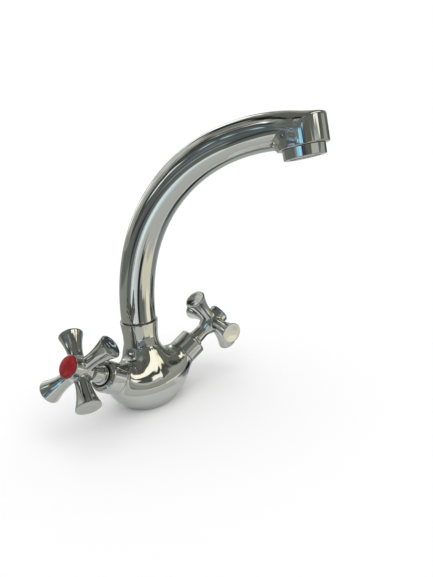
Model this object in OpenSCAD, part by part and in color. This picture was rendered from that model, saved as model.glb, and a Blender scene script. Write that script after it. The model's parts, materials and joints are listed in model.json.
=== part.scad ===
// Two-handle basin mixer: a crescent body with a swivel spout and two cross handles.
// Frame: the foot stands on z = 0 at the origin, the user stands on the -Y side,
// the hot handle is on the -X side and the cold one on the +X side.

/* [Neck and foot] */
// Height of the seam between the neck and the spout
neck_height = 69; // [66:0.5:76]
// Diameter of the lip at the top of the neck
lip_d = 30; // [29.5:0.5:34]
// Diameter of the neck at its narrowest
waist_d = 28; // [26.4:0.2:28.4]
// Height of the narrowest place of the neck
waist_height = 55; // [50:1:56]
// Diameter of the foot on the deck
foot_d = 41; // [40.5:0.5:46]
// Height of the straight band under the lip
lip_h = 3; // [2:0.5:4]
// Height of the straight band at the waist
waist_h = 6; // [4:0.5:8]
// Diameter of the bore that takes the spout tail
neck_bore_d = 18; // [16:0.1:18.2]
// Height of the floor of that bore
neck_bore_floor = 39; // [37:0.5:40]
// Diameter of the mixing chamber under the bore
chamber_d = 12; // [8:0.5:12]
// Height of the floor of the mixing chamber
chamber_floor = 19; // [18.5:0.5:22]

/* [Crescent] */
// Rise of the arms above the deck, in degrees
arm_rise = 37; // [35:0.5:39]
// Lean of both arms towards the user, in degrees
arm_lean = 18.5; // [16:0.5:20]
// Height of the point where the two arm axes cross
cross_height = 9.6; // [9:0.2:11]
// Distance of that point in front of the neck axis
cross_forward = 3; // [2:0.5:4]
// Distance from the crossing point to the ends of the arms
arm_length = 41.3; // [40:0.5:46]
// Diameter of the arms
arm_d = 24.1; // [23.5:0.1:26]
// Half depth of the crescent in its middle
bowl_half_depth = 23.8; // [18:0.1:24.5]
// Drop of the bowl below the crossing point
bowl_drop = 12; // [10.4:0.2:13]
// Rise of the saddle between an arm and the neck
saddle_rise = 5.3; // [3:0.1:8]

/* [Valves] */
// Diameter of the threaded arm bore
arm_bore_d = 16.7; // [16:0.1:17]
// Distance from the crossing point to the floor of the arm bore
arm_bore_floor = 24; // [22:0.5:26]
// Diameter of the water port in the floor of the arm bore
port_d = 6; // [4:0.5:6.4]
// Diameter of the channel from the arm bore to the mixing chamber
channel_d = 5; // [3:0.5:5.5]
// Diameter of the ceramic discs
disc_d = 13.2; // [12.5:0.1:13.4]
// Thickness of each ceramic disc
disc_t = 2.6; // [2:0.1:3]
// Diameter of the windows in the discs
window_d = 3.4; // [2:0.2:3.6]
// Thickness of the rubber seat under the discs
seat_t = 2; // [1.5:0.1:2.5]
// Diameter of the spindle
spindle_d = 8; // [7.4:0.1:8.2]
// Hexagon of the valve body across its flats
hex_af = 17; // [16:0.5:17]
// Height of the hexagon
hex_h = 4.5; // [4:0.5:5]

/* [Sleeves] */
// Length of the chrome sleeve beyond the arm
sleeve_length = 14.3; // [13:0.1:16]
// Wall of the sleeve
sleeve_wall = 1.9; // [1.5:0.1:2]
// Diameter of the mouth of the sleeve
mouth_d = 16.4; // [16.2:0.1:17]
// Length of the lip at the mouth
mouth_lip = 2.6; // [2:0.1:3]
// Size of the rounded shoulder at the mouth
shoulder = 2.4; // [1.5:0.1:2.6]

/* [Handles] */
// Distance from the end of the arm to the axis of the four grips
grip_offset = 36.5; // [35:0.1:40]
// Distance from the hub axis to the end faces of the grips
grip_reach = 29.8; // [27:0.2:34]
// Diameter of a grip at its end
grip_end_d = 17.6; // [15:0.2:19]
// Diameter of a grip at its waist
grip_waist_d = 9.4; // [8:0.2:10.4]
// Diameter of the hub
hub_d = 17.2; // [16.8:0.2:19]
// Distance from the grip axis to the front of the hub
hub_front = 10.2; // [9:0.2:11]
// Distance from the grip axis to the back of the hub
hub_back = 8; // [7:0.2:9]
// Length of the rounded back of the hub
hub_taper = 4.5; // [3:0.1:5]
// Diameter of the skirt ring that enters the sleeve
skirt_d = 14.4; // [14:0.1:14.8]
// Diameter of the slim part of the skirt
skirt_waist_d = 11.4; // [11:0.1:12]
// Depth of the skirt inside the sleeve
skirt_depth = 4.6; // [4:0.2:5]
// Diameter of the coloured button
button_d = 15.5; // [15:0.1:16.4]
// Height of the button's rim
button_rim = 1.1; // [0.8:0.1:1.6]
// Height of the button's dome above its rim
button_dome = 0.9; // [0.5:0.1:1.2]
// Turn of the hot handle at rest, in degrees
hot_turn = 66.6; // [0:0.1:90]
// Turn of the cold handle at rest, in degrees
cold_turn = 75; // [0:0.1:90]

/* [Spout] */
// Swing of the spout towards the cold side at rest, in degrees
spout_turn = 16.3; // [-60:0.1:60]
// Straight stretch above the neck
straight_rise = 2.5; // [1:0.5:8]
// Radius of the first arc of the spout
first_radius = 145; // [130:1:160]
// Angle of the first arc
first_angle = 20; // [15:1:25]
// Radius of the second arc of the spout
second_radius = 120; // [110:1:130]
// Dip of the spout below level at the outlet, in degrees
end_dip = 7.7; // [4:0.1:10]
// Diameter of the tube at the neck
tube_start_d = 27.5; // [27:0.1:28.5]
// Diameter of the tube half way along
tube_middle_d = 25.4; // [24:0.1:26]
// Height of the tube at the outlet
tube_end_d = 20.6; // [20:0.1:22]
// Width of the tube at the outlet
tube_end_w = 25; // [22:0.2:26]
// Wall of the tube
tube_wall = 2.4; // [2:0.1:3]

/* [Outlet] */
// Diameter of the outlet head
head_d = 29.7; // [29:0.1:31]
// Tilt of the outlet away from the neck, in degrees
outlet_tilt = 9; // [6:0.2:12]
// Distance from the spout's middle line to the lower rim of the head
head_drop = 8.7; // [8.4:0.1:10]
// Radius of the crowned top of the head
crown_radius = 30; // [28:1:40]
// Diameter of the chrome aerator ring
aerator_d = 24.7; // [24.4:0.1:26]
// Height of the aerator ring below the head
aerator_h = 6.1; // [5:0.1:7]
// Diameter of the outlet thread
outlet_thread_d = 23; // [22.5:0.1:23.4]
// Depth of the outlet thread
outlet_thread_h = 6; // [5:0.2:6.4]

/* [Under the foot] */
// Distance of each inlet from the middle plane
inlet_x = 9.5; // [9:0.1:10]
// Distance of the inlets in front of the neck axis
inlet_forward = 5.3; // [5:0.1:6]
// Diameter of the threaded inlet holes
inlet_d = 9; // [8:0.1:9.2]
// Depth of the inlet holes
inlet_depth = 16; // [15.5:0.1:17]
// Distance of the stud hole behind the neck axis
stud_back = 9.5; // [9:0.1:10.5]
// Diameter of the stud hole
stud_d = 6.8; // [5:0.1:6.8]
// Depth of the stud hole
stud_depth = 13; // [10:0.5:15]
// Middle diameter of the base gasket
gasket_d = 35; // [34.5:0.1:35.5]
// Width of the base gasket
gasket_w = 2.4; // [2:0.1:3]
// Depth of the groove that holds the gasket
gasket_h = 2; // [1.5:0.1:2.5]

/* [Hidden] */
$fn = 64;

// Clearances
running_gap = 0.05;
film_gap = 0.02;
screw_in_gap = 0.3;
eps = 0.01;

chrome = "silver";
brass = "goldenrod";

// Neck and tail
foot_flare = 0.6;
slide_ring_t = 0.6;
spout_foot = neck_height + running_gap + slide_ring_t;
tail_r = neck_bore_d / 2 - running_gap;
tail_wall = 2.6;
tail_end = neck_bore_floor + 2;
tail_grip_h = 10;
tail_flange_r = tail_r + 2.6;
tail_flange_h = 1.2;
oring_r = 0.68;
oring_groove_r = tail_r - 2 * oring_r;
upper_oring_z = neck_height - 3.6;
lower_oring_z = tail_end + 5;
lock_z = neck_height - 10;
channel_drop = 6;
lock_d = 5;
lock_tip_d = 2.4;
lock_groove_h = 4;
lock_groove_r = tail_r - 1.4;

// Crescent, in the leaning plane of the two arms
arm_r = arm_d / 2;
crescent_end = arm_length - 2.5;
line_radius = crescent_end / tan(arm_rise);
line_centre = crescent_end * sin(arm_rise) + line_radius * cos(arm_rise);
rim_x = (line_radius + arm_r) * sin(arm_rise);
rim_z = line_centre - (line_radius + arm_r) * cos(arm_rise);
bowl_centre = (rim_x * rim_x + rim_z * rim_z - bowl_drop * bowl_drop) / (2 * (rim_z + bowl_drop));
bowl_radius = bowl_centre + bowl_drop;
crescent_rings = 24;
crescent_sides = 32;

// Valves, measured along the arm axis from the crossing point
bore_gap = 0.05;
body_r = arm_bore_d / 2 - bore_gap;
cavity_r = disc_d / 2 + 0.1;
seat_top = arm_bore_floor + seat_t;
fixed_top = seat_top + disc_t;
moving_bottom = fixed_top + film_gap;
moving_top = moving_bottom + disc_t;
fork_h = 4;
key_w = 3;
key_h = 1.2;
cavity_top = moving_top + fork_h + 0.1;
body_foot = arm_bore_floor + 1;
washer_t = 1;
washer_w = 1.3;
flange_h = 1.2;
flange_bottom = arm_length + washer_t;
flange_r = body_r + washer_w;
hex_top = flange_bottom + flange_h + hex_h;
collar_h = 4.2;
collar_r = spindle_d / 2 + 1.6;
collar_top = hex_top + collar_h;
clip_t = 0.7;
clip_w = 0.9;
clip_bottom = collar_top + 0.1;
seal_r = 0.5;
seal_spots = [cavity_top + 5, hex_top - 1.5];
spline_teeth = 20;
spline_d = spindle_d - 0.3;
spline_h = 1;

// Handles, with their own origin where the grip axes meet the arm axis
grip_s = arm_length + grip_offset;
sleeve_top = arm_length + sleeve_length;
skirt_foot = sleeve_top - skirt_depth - grip_s;
skirt_ring_top = sleeve_top + 1.6 - grip_s;
grip_flare = 2.15;
grip_root = 0.9;
grip_rim = 0.9;
grip_dish = 0.8;
skirt_bore_r = collar_r + 0.7;
skirt_bore_h = clip_bottom + clip_t + 0.6 - grip_s - skirt_foot;
spindle_tip = grip_s - 0.7;
spline_foot = spindle_tip - 11;
web_h = 3;
web_bottom = spindle_tip + 0.2 - grip_s;
well_r = hub_d / 2 - 1.6;
screw_d = 4.2;
screw_head_d = 8.6;
screw_head_h = 3.2;
screw_length = 10;

// Spout
tube_rings = 40;
tube_sides = 28;
bore_rings = 22;
bore_sides = 14;
second_angle = 90 + end_dip - first_angle;
first_length = first_radius * first_angle * PI / 180;
second_length = second_radius * second_angle * PI / 180;
tube_length = straight_rise + first_length + second_length;
flare_start = 0.7;
side_square = 0.35;
belly_taper = 0.2;
crest_square = 0.1;

// Outlet
rim_lip = 0.6;
housing_thread_r = outlet_thread_d / 2 - bore_gap;
housing_wall = 1.3;
housing_bore_r = housing_thread_r - housing_wall;
washer_h = 1.5;
screen_t = 0.4;
water_well_r = housing_bore_r - 0.4;

// Small helpers
module ring(r_out, r_in, h) {
    difference() {
        cylinder(r = r_out, h = h);
        translate([0, 0, -1]) cylinder(r = r_in, h = h + 2);
    }
}

module torus(r_mid, r_cord) {
    rotate_extrude() translate([r_mid, 0]) circle(r = r_cord, $fn = 24);
}

module bar(from, to, d) {
    way = to - from;
    translate(from)
        rotate([0, acos(way[2] / norm(way)), atan2(way[1], way[0])])
            cylinder(d = d, h = norm(way));
}

// Puts its children on an arm: z runs outwards along the arm axis. side is -1 for hot, 1 for cold
module on_arm(side) {
    translate([0, -cross_forward, cross_height])
        rotate([arm_lean, 0, 0])
            rotate([0, side * (90 - arm_rise), 0])
                children();
}

function side_turn(side) = side < 0 ? hot_turn : cold_turn;

// The point of an arm axis at a distance from the crossing point
function arm_point(side, s) = [side * s * cos(arm_rise),
    -cross_forward - s * sin(arm_rise) * sin(arm_lean), cross_height + s * sin(arm_rise) * cos(arm_lean)];

module on_handle(side) {
    on_arm(side) translate([0, 0, grip_s]) rotate([0, 0, side_turn(side)]) children();
}

// Crescent: elliptical sections along an arc, between an outer and an inner outline. The first and
// the last section are repeated at the ends of the arms
function outer_radius(a) =
    let (k = line_centre - bowl_centre)
        k * cos(a) + sqrt(bowl_radius * bowl_radius - pow(k * sin(a), 2));
function inner_radius(a) = line_radius - arm_r - saddle_rise * (1 - pow(a / arm_rise, 2));
function half_depth(a) = arm_r + (bowl_half_depth - arm_r) * (1 - pow(a / arm_rise, 2));

module crescent() {
    points = [for (i = [-1:crescent_rings + 1])
        let (place = max(0, min(crescent_rings, i)),
            beyond = (i - place) * (arm_length - crescent_end),
            a = arm_rise * (2 * place / crescent_rings - 1),
            middle = (outer_radius(a) + inner_radius(a)) / 2,
            half = (outer_radius(a) - inner_radius(a)) / 2)
        for (j = [0:crescent_sides - 1])
            let (t = 360 * j / crescent_sides, r = middle + half * cos(t))
                [r * sin(a) + beyond * cos(a), half_depth(a) * sin(t),
                    line_centre - r * cos(a) + beyond * sin(a)]];
    skin(points, crescent_rings + 2, crescent_sides);
}

// Closes rings of points into a solid, with a fan on each end
module skin(points, rings, sides) {
    walls = [for (i = [0:rings - 1]) for (j = [0:sides - 1])
        let (a = i * sides + j, b = i * sides + (j + 1) % sides)
            each [[a, b, b + sides], [a, b + sides, a + sides]]];
    last = rings * sides;
    caps = [for (j = [1:sides - 2]) each [[0, j + 1, j], [last, last + j, last + j + 1]]];
    polyhedron(points = points, faces = [for (f = concat(walls, caps)) [f[2], f[1], f[0]]]);
}

// Radius of the neck and foot at a height below the lip
function lip_blend(z) = (z - waist_height) / (neck_height - lip_h - waist_height);
function foot_blend(z) = (waist_height - waist_h - z) / (waist_height - waist_h);
function neck_r(z) =
    z >= neck_height - lip_h ? lip_d / 2
    : z >= waist_height ? waist_d / 2 + (lip_d - waist_d) / 2 * pow(lip_blend(z), 2)
    : z >= waist_height - waist_h ? waist_d / 2
    : waist_d / 2 + (foot_d - waist_d) / 2 * pow(foot_blend(z), foot_flare);

module neck_and_foot() {
    steps = 28;
    rotate_extrude()
        polygon(concat([[0, 0]],
            [for (i = [0:steps]) let (z = neck_height * i / steps) [neck_r(z), z]],
            [[0, neck_height]]));
}

module body_casting() {
    color(chrome) difference() {
        union() {
            intersection() {
                translate([0, -cross_forward, cross_height]) rotate([arm_lean, 0, 0]) crescent();
                translate([-2 * arm_length, -2 * arm_length, 0]) cube(4 * arm_length);
            }
            neck_and_foot();
        }
        translate([0, 0, neck_bore_floor]) cylinder(d = neck_bore_d, h = neck_height);
        translate([0, 0, chamber_floor]) cylinder(d = chamber_d, h = neck_height);
        for (side = [-1, 1]) {
            on_arm(side) translate([0, 0, arm_bore_floor]) cylinder(d = arm_bore_d, h = arm_length);
            on_arm(side) translate([0, 0, arm_bore_floor / 2]) cylinder(d = port_d, h = arm_bore_floor);
            bar([0, 0, neck_bore_floor - channel_drop], arm_point(side, fixed_top), channel_d);
            translate([side * inlet_x, -inlet_forward, -1]) cylinder(d = inlet_d, h = inlet_depth + 1);
        }
        translate([0, stud_back, -1]) cylinder(d = stud_d, h = stud_depth + 1);
        translate([0, 0, lock_z]) rotate([-90, 0, 0]) cylinder(d = lock_d, h = lip_d);
        translate([0, 0, -1])
            ring(gasket_d / 2 + gasket_w / 2 + running_gap, gasket_d / 2 - gasket_w / 2 - running_gap,
                gasket_h + 1);
    }
}

module base_gasket() {
    color("dimgray") ring(gasket_d / 2 + gasket_w / 2, gasket_d / 2 - gasket_w / 2, gasket_h);
}

module spout_lock_screw() {
    socket = 2.5;
    tip = 0.9;
    length = neck_r(lock_z) - neck_bore_d / 2 - 0.4;
    color("gray") translate([0, neck_bore_d / 2, lock_z]) rotate([-90, 0, 0]) {
        difference() {
            cylinder(d = lock_d - 2 * running_gap, h = length);
            translate([0, 0, length - 2]) cylinder(d = socket, h = 3, $fn = 6);
        }
        translate([0, 0, -tip]) cylinder(d1 = lock_tip_d - 1, d2 = lock_tip_d, h = tip);
    }
}

// Valve parts
module headwork_body() {
    difference() {
        union() {
            translate([0, 0, body_foot]) cylinder(r = body_r - 0.7, h = flange_bottom - body_foot);
            translate([0, 0, cavity_top - 2]) cylinder(r = body_r, h = flange_bottom - cavity_top + 2);
            translate([0, 0, flange_bottom]) cylinder(r = flange_r, h = flange_h);
            translate([0, 0, flange_bottom + flange_h]) cylinder(d = hex_af / cos(30), h = hex_h, $fn = 6);
            translate([0, 0, hex_top]) cylinder(r = collar_r, h = collar_h);
        }
        translate([0, 0, body_foot - 1]) cylinder(r = cavity_r, h = cavity_top - body_foot + 1);
        cylinder(d = spindle_d + 2 * running_gap, h = collar_top + 1);
        // Side windows that let the water out past the discs
        translate([-2.5, -arm_bore_d, fixed_top + 0.4]) cube([5, 2 * arm_bore_d, disc_t]);
    }
}

module hot_headwork_body() {
    color(brass) on_arm(-1) headwork_body();
}

module cold_headwork_body() {
    color(brass) on_arm(1) headwork_body();
}

module headwork_washer() {
    translate([0, 0, arm_length]) ring(flange_r, body_r + running_gap, washer_t);
}

module hot_headwork_washer() {
    color("dimgray") on_arm(-1) headwork_washer();
}

module cold_headwork_washer() {
    color("dimgray") on_arm(1) headwork_washer();
}

module seat_seal() {
    translate([0, 0, arm_bore_floor]) ring(disc_d / 2, port_d / 2 + 0.2, seat_t);
}

module hot_seat_seal() {
    color("dimgray") on_arm(-1) seat_seal();
}

module cold_seat_seal() {
    color("dimgray") on_arm(1) seat_seal();
}

module windows(h) {
    for (x = [-1, 1]) translate([x * disc_d / 4, 0, -1]) cylinder(d = window_d, h = h + 2);
}

module fixed_disc() {
    translate([0, 0, seat_top]) difference() {
        cylinder(d = disc_d, h = disc_t);
        windows(disc_t);
    }
}

module hot_fixed_disc() {
    color("white") on_arm(-1) fixed_disc();
}

module cold_fixed_disc() {
    color("white") on_arm(1) fixed_disc();
}

// Closed at rest: its windows lie a quarter turn from those of the fixed disc
module moving_disc() {
    translate([0, 0, moving_bottom]) rotate([0, 0, 90]) difference() {
        cylinder(d = disc_d, h = disc_t);
        windows(disc_t);
        translate([-disc_d, -key_w / 2, disc_t - key_h]) cube([2 * disc_d, key_w, key_h + 1]);
    }
}

module hot_moving_disc() {
    color("gainsboro") on_arm(-1) moving_disc();
}

module cold_moving_disc() {
    color("gainsboro") on_arm(1) moving_disc();
}

// Outline of a toothed shaft end
module spline_shape(d) {
    polygon([for (i = [0:2 * spline_teeth - 1])
        let (r = d / 2 - (i % 2) * spline_h / 2, a = 180 * i / spline_teeth) [r * cos(a), r * sin(a)]]);
}

// The handle is pressed on where its splines meet those of the spindle
module spindle(side) {
    difference() {
        union() {
            translate([0, 0, moving_top + film_gap]) cylinder(d = disc_d - 0.3, h = fork_h - film_gap);
            translate([0, 0, moving_top]) cylinder(d = spindle_d, h = spline_foot - moving_top);
            translate([0, 0, spline_foot]) rotate([0, 0, side_turn(side)])
                linear_extrude(spindle_tip - spline_foot) spline_shape(spline_d);
            // Key that sits in the slot of the moving disc
            translate([0, 0, moving_top - key_h + 0.1]) rotate([0, 0, 90]) intersection() {
                translate([-disc_d, -key_w / 2 + running_gap, 0])
                    cube([2 * disc_d, key_w - 2 * running_gap, key_h + 1]);
                cylinder(d = disc_d - 0.6, h = key_h + 1);
            }
        }
        for (z = seal_spots) translate([0, 0, z - 0.7]) ring(spindle_d, spindle_d / 2 - 2 * seal_r, 1.4);
        translate([0, 0, clip_bottom]) ring(spindle_d, spindle_d / 2 - clip_w / 2, clip_t);
        translate([0, 0, spindle_tip - screw_length]) cylinder(d = screw_d, h = screw_length + 1);
    }
}

module hot_spindle() {
    color(brass) on_arm(-1) spindle(-1);
}

module cold_spindle() {
    color(brass) on_arm(1) spindle(1);
}

module spindle_orings() {
    for (z = seal_spots) translate([0, 0, z]) torus(spindle_d / 2 - seal_r, seal_r);
}

module hot_spindle_orings() {
    color("dimgray") on_arm(-1) spindle_orings();
}

module cold_spindle_orings() {
    color("dimgray") on_arm(1) spindle_orings();
}

// Spring clip with an open side
module spindle_clip() {
    translate([0, 0, clip_bottom]) difference() {
        ring(spindle_d / 2 + clip_w, spindle_d / 2 - clip_w / 2, clip_t);
        translate([0, -1.5, -1]) cube([spindle_d, 3, clip_t + 2]);
    }
}

module hot_spindle_clip() {
    color("gray") on_arm(-1) spindle_clip();
}

module cold_spindle_clip() {
    color("gray") on_arm(1) spindle_clip();
}

// Sleeve with a rounded shoulder at its mouth
module sleeve() {
    top = sleeve_top;
    round_steps = 8;
    rotate_extrude() polygon(concat(
        [[arm_r - sleeve_wall, arm_length], [arm_r, arm_length]],
        [for (i = [0:round_steps]) let (a = 90 * i / round_steps)
            [arm_r - shoulder * (1 - cos(a)), top - shoulder * (1 - sin(a))]],
        [[mouth_d / 2, top], [mouth_d / 2, top - mouth_lip], [arm_r - sleeve_wall, top - mouth_lip]]));
}

module hot_sleeve() {
    color(chrome) on_arm(-1) sleeve();
}

module cold_sleeve() {
    color(chrome) on_arm(1) sleeve();
}

module mouth_ring() {
    translate([0, 0, sleeve_top - mouth_lip])
        ring(mouth_d / 2 - bore_gap, skirt_d / 2 + 0.15, mouth_lip - 0.5);
}

module hot_mouth_ring() {
    color("black") on_arm(-1) mouth_ring();
}

module cold_mouth_ring() {
    color("black") on_arm(1) mouth_ring();
}

// Trumpet outline of one grip, from inside the hub to its dished end
function grip_r(t) = grip_waist_d / 2 + (grip_end_d - grip_waist_d) / 2 * pow(t, grip_flare)
    + grip_root * pow(1 - t, 4);

module grip() {
    steps = 12;
    start = hub_d / 2 - 3;
    flare = grip_reach - grip_rim - start;
    dish_r = grip_end_d / 2 - 1.5;
    rotate([0, 90, 0]) rotate_extrude() polygon(concat(
        [[0, 0], [grip_r(0), 0]],
        [for (i = [0:steps]) [grip_r(i / steps), start + flare * i / steps]],
        [[grip_end_d / 2 - 0.5, grip_reach], [dish_r, grip_reach]],
        [for (i = [1:4]) [dish_r * cos(22.5 * i), grip_reach - grip_dish * sin(22.5 * i)]]));
}

module hub() {
    rotate_extrude() polygon([
        [0, skirt_foot], [skirt_d / 2, skirt_foot], [skirt_d / 2, skirt_ring_top - 0.4],
        [skirt_d / 2 - 0.4, skirt_ring_top], [skirt_waist_d / 2 + 0.5, skirt_ring_top + 0.6],
        [skirt_waist_d / 2, -hub_back - hub_taper], [skirt_waist_d / 2 + 0.4, -hub_back - hub_taper / 2],
        [hub_d / 2 - 1.4, -hub_back], [hub_d / 2 - 0.4, -hub_back + 2], [hub_d / 2, -hub_back + hub_taper],
        [hub_d / 2, hub_front - 1.2],
        [hub_d / 2 - 0.3, hub_front - 0.4], [hub_d / 2 - 0.8, hub_front], [0, hub_front]]);
}

module cross_handle() {
    difference() {
        union() {
            hub();
            for (a = [0:90:270]) rotate([0, 0, a]) grip();
        }
        translate([0, 0, skirt_foot - 1]) cylinder(r = skirt_bore_r, h = skirt_bore_h + 1);
        translate([0, 0, skirt_foot]) cylinder(d = spindle_d + 0.4, h = spline_foot - grip_s - skirt_foot);
        translate([0, 0, spline_foot - grip_s - eps])
            linear_extrude(web_bottom - spline_foot + grip_s + eps) spline_shape(spline_d + 0.2);
        translate([0, 0, web_bottom - 1]) cylinder(d = screw_d + 0.6, h = hub_front);
        translate([0, 0, web_bottom + web_h]) cylinder(r = well_r, h = hub_front);
    }
}

module hot_cross_handle() {
    color(chrome) on_handle(-1) cross_handle();
}

module cold_cross_handle() {
    color(chrome) on_handle(1) cross_handle();
}

// Domed cap with a hollow stem that clips into the well of the hub
module index_button() {
    steps = 6;
    stem_wall = 1.2;
    stem_r = well_r - running_gap;
    stem_foot = hub_front - 2.2;
    r = button_d / 2;
    rotate_extrude() polygon(concat(
        [[stem_r - stem_wall, stem_foot], [stem_r, stem_foot], [stem_r, hub_front], [r, hub_front]],
        [for (i = [0:steps]) let (a = 90 * i / steps)
            [i == steps ? 0 : r * cos(a), hub_front + button_rim + button_dome * sin(a)]],
        [[0, hub_front], [stem_r - stem_wall, hub_front]]));
}

module hot_index_button() {
    color("red") on_handle(-1) index_button();
}

module cold_index_button() {
    color("royalblue") on_handle(1) index_button();
}

module handle_screw() {
    head_bottom = web_bottom + web_h;
    shank_foot = spindle_tip - grip_s - screw_length + 1;
    difference() {
        union() {
            translate([0, 0, shank_foot]) cylinder(d = screw_d - 0.1, h = head_bottom - shank_foot);
            translate([0, 0, head_bottom]) cylinder(d = screw_head_d, h = screw_head_h);
        }
        for (a = [0, 90]) rotate([0, 0, a])
            translate([-2.4, -0.6, head_bottom + screw_head_h - 1.6]) cube([4.8, 1.2, 2]);
    }
}

module hot_handle_screw() {
    color("gray") on_handle(-1) handle_screw();
}

module cold_handle_screw() {
    color("gray") on_handle(1) handle_screw();
}

// Spout: the middle line is a short straight and two arcs. Its point holds the reach, the height
// and the angle from upright at a share u of its length
function line_at(u) =
    let (s = u * tube_length,
        a = s <= straight_rise ? 0
            : s <= straight_rise + first_length ? (s - straight_rise) / first_radius * 180 / PI
            : first_angle + (s - straight_rise - first_length) / second_radius * 180 / PI,
        low = min(s, straight_rise),
        a1 = min(a, first_angle))
    [first_radius * (1 - cos(a1)) + second_radius * (cos(a1) - cos(a)),
        spout_foot + low + first_radius * sin(a1) + second_radius * (sin(a) - sin(a1)), a];

// Round at the neck, wider and flatter on top towards the outlet
function tube_r(u) = (tube_start_d * (1 - u) * (1 - 2 * u) + 4 * tube_middle_d * u * (1 - u)
    + tube_end_d * u * (2 * u - 1)) / 2;
function flare(u) = let (t = max(0, (u - flare_start) / (1 - flare_start))) t * t * (3 - 2 * t);
function power(x, p) = sign(x) * pow(abs(x), p);
function tube_point(u, t, wall) =
    let (r = tube_r(u) - wall,
        k = flare(u),
        w = r + (tube_end_w - tube_end_d) / 2 * k,
        x = power(cos(t), 1 - side_square * k) * (1 - belly_taper * k * max(0, -sin(t))),
        y = sin(t) > 0 ? power(sin(t), 1 - crest_square * k) : sin(t))
    [w * x, r * y];

module sweep(rings, sides, from, to, wall) {
    points = [for (i = [0:rings])
        let (u = from + (to - from) * i / rings, p = line_at(u))
        for (j = [0:sides - 1])
            let (q = tube_point(u, 360 * j / sides, wall))
                [q[0], -p[0] + q[1] * cos(p[2]), p[1] + q[1] * sin(p[2])]];
    skin(points, rings, sides);
}

// Puts its children on the outlet: z runs up the outlet axis from the spout's middle line
module at_outlet() {
    end = line_at(1);
    translate([0, -end[0], end[1]]) rotate([-outlet_tilt, 0, 0]) children();
}

module spout_frame() {
    rotate([0, 0, spout_turn]) children();
}

// A cylinder whose crowned top runs on from the crest of the tube
module head_solid() {
    arc_reach = first_radius * (1 - cos(first_angle)) + second_radius * cos(first_angle);
    arc_height = spout_foot + straight_rise + (first_radius - second_radius) * sin(first_angle);
    crest = second_radius + tube_end_d / 2;
    intersection() {
        at_outlet() translate([0, 0, -head_drop]) cylinder(d = head_d, h = head_d);
        translate([0, -arc_reach, arc_height]) rotate([0, 90, 0])
            rotate_extrude() translate([crest - crown_radius, 0]) circle(r = crown_radius, $fn = 96);
    }
}

module spout_tube() {
    color(chrome) spout_frame() difference() {
        union() {
            sweep(tube_rings, tube_sides, 0, 1, 0);
            head_solid();
        }
        sweep(bore_rings, bore_sides, 0.04, 0.985, tube_wall);
        translate([0, 0, spout_foot - 1]) cylinder(r = tail_r, h = tail_grip_h + 1);
        translate([0, 0, spout_foot - 1]) cylinder(r = tail_flange_r, h = tail_flange_h + 1);
        at_outlet() {
            translate([0, 0, -head_drop - aerator_h]) cylinder(d = aerator_d + 2 * running_gap, h = aerator_h);
            translate([0, 0, -head_drop - 1]) cylinder(d = outlet_thread_d, h = outlet_thread_h + 1);
            translate([0, 0, -head_drop]) cylinder(r = water_well_r, h = head_drop + 4);
        }
    }
}

module spout_tail() {
    color(brass) spout_frame() difference() {
        union() {
            translate([0, 0, tail_end]) cylinder(r = tail_r, h = spout_foot - tail_end + tail_grip_h);
            translate([0, 0, spout_foot]) cylinder(r = tail_flange_r, h = tail_flange_h);
        }
        translate([0, 0, tail_end - 1]) cylinder(r = tail_r - tail_wall, h = neck_height);
        for (z = [upper_oring_z, lower_oring_z])
            translate([0, 0, z - oring_r - 0.1]) ring(tail_r + 1, oring_groove_r, 2 * oring_r + 0.2);
        translate([0, 0, lock_z - lock_groove_h / 2]) ring(tail_r + 1, lock_groove_r, lock_groove_h);
    }
}

module tail_upper_oring() {
    color("dimgray") translate([0, 0, upper_oring_z]) torus(tail_r - oring_r, oring_r);
}

module tail_lower_oring() {
    color("dimgray") translate([0, 0, lower_oring_z]) torus(tail_r - oring_r, oring_r);
}

module spout_slide_ring() {
    color("white") translate([0, 0, neck_height + running_gap])
        ring(tail_flange_r, tail_r + running_gap, slide_ring_t);
}

module aerator_housing() {
    thread_h = outlet_thread_h - screw_in_gap;
    color(chrome) spout_frame() at_outlet() translate([0, 0, -head_drop]) difference() {
        union() {
            cylinder(r = housing_thread_r, h = thread_h);
            translate([0, 0, -aerator_h]) cylinder(d = aerator_d, h = aerator_h);
            translate([0, 0, -aerator_h]) cylinder(d1 = aerator_d - 2 * rim_lip, d2 = aerator_d, h = rim_lip);
        }
        translate([0, 0, -aerator_h + 1]) cylinder(r = housing_bore_r, h = aerator_h + outlet_thread_h);
        translate([0, 0, -aerator_h - 1]) cylinder(r = housing_bore_r - 1, h = aerator_h);
    }
}

module aerator_insert() {
    r = housing_bore_r - bore_gap;
    h = aerator_h + outlet_thread_h - screw_in_gap - washer_h - 1;
    spoke = 0.8;
    color("whitesmoke") spout_frame() at_outlet() translate([0, 0, -head_drop - aerator_h + 1]) {
        ring(r, r - 1.2, h);
        ring(r - 4.5, r - 5.6, 3);
        cylinder(r = 1.6, h = 3);
        for (a = [0:45:135]) rotate([0, 0, a]) translate([-r + 0.6, -spoke / 2, 0])
            cube([2 * r - 1.2, spoke, 3]);
        translate([0, 0, h - 1.4]) difference() {
            cylinder(r = r - 1, h = 1.4);
            for (n = [1:3]) for (k = [0:6 * n - 1])
                rotate([0, 0, 60 * k / n]) translate([n * 2.5, 0, -1]) cylinder(d = 1.2, h = 4, $fn = 13);
        }
    }
}

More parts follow.
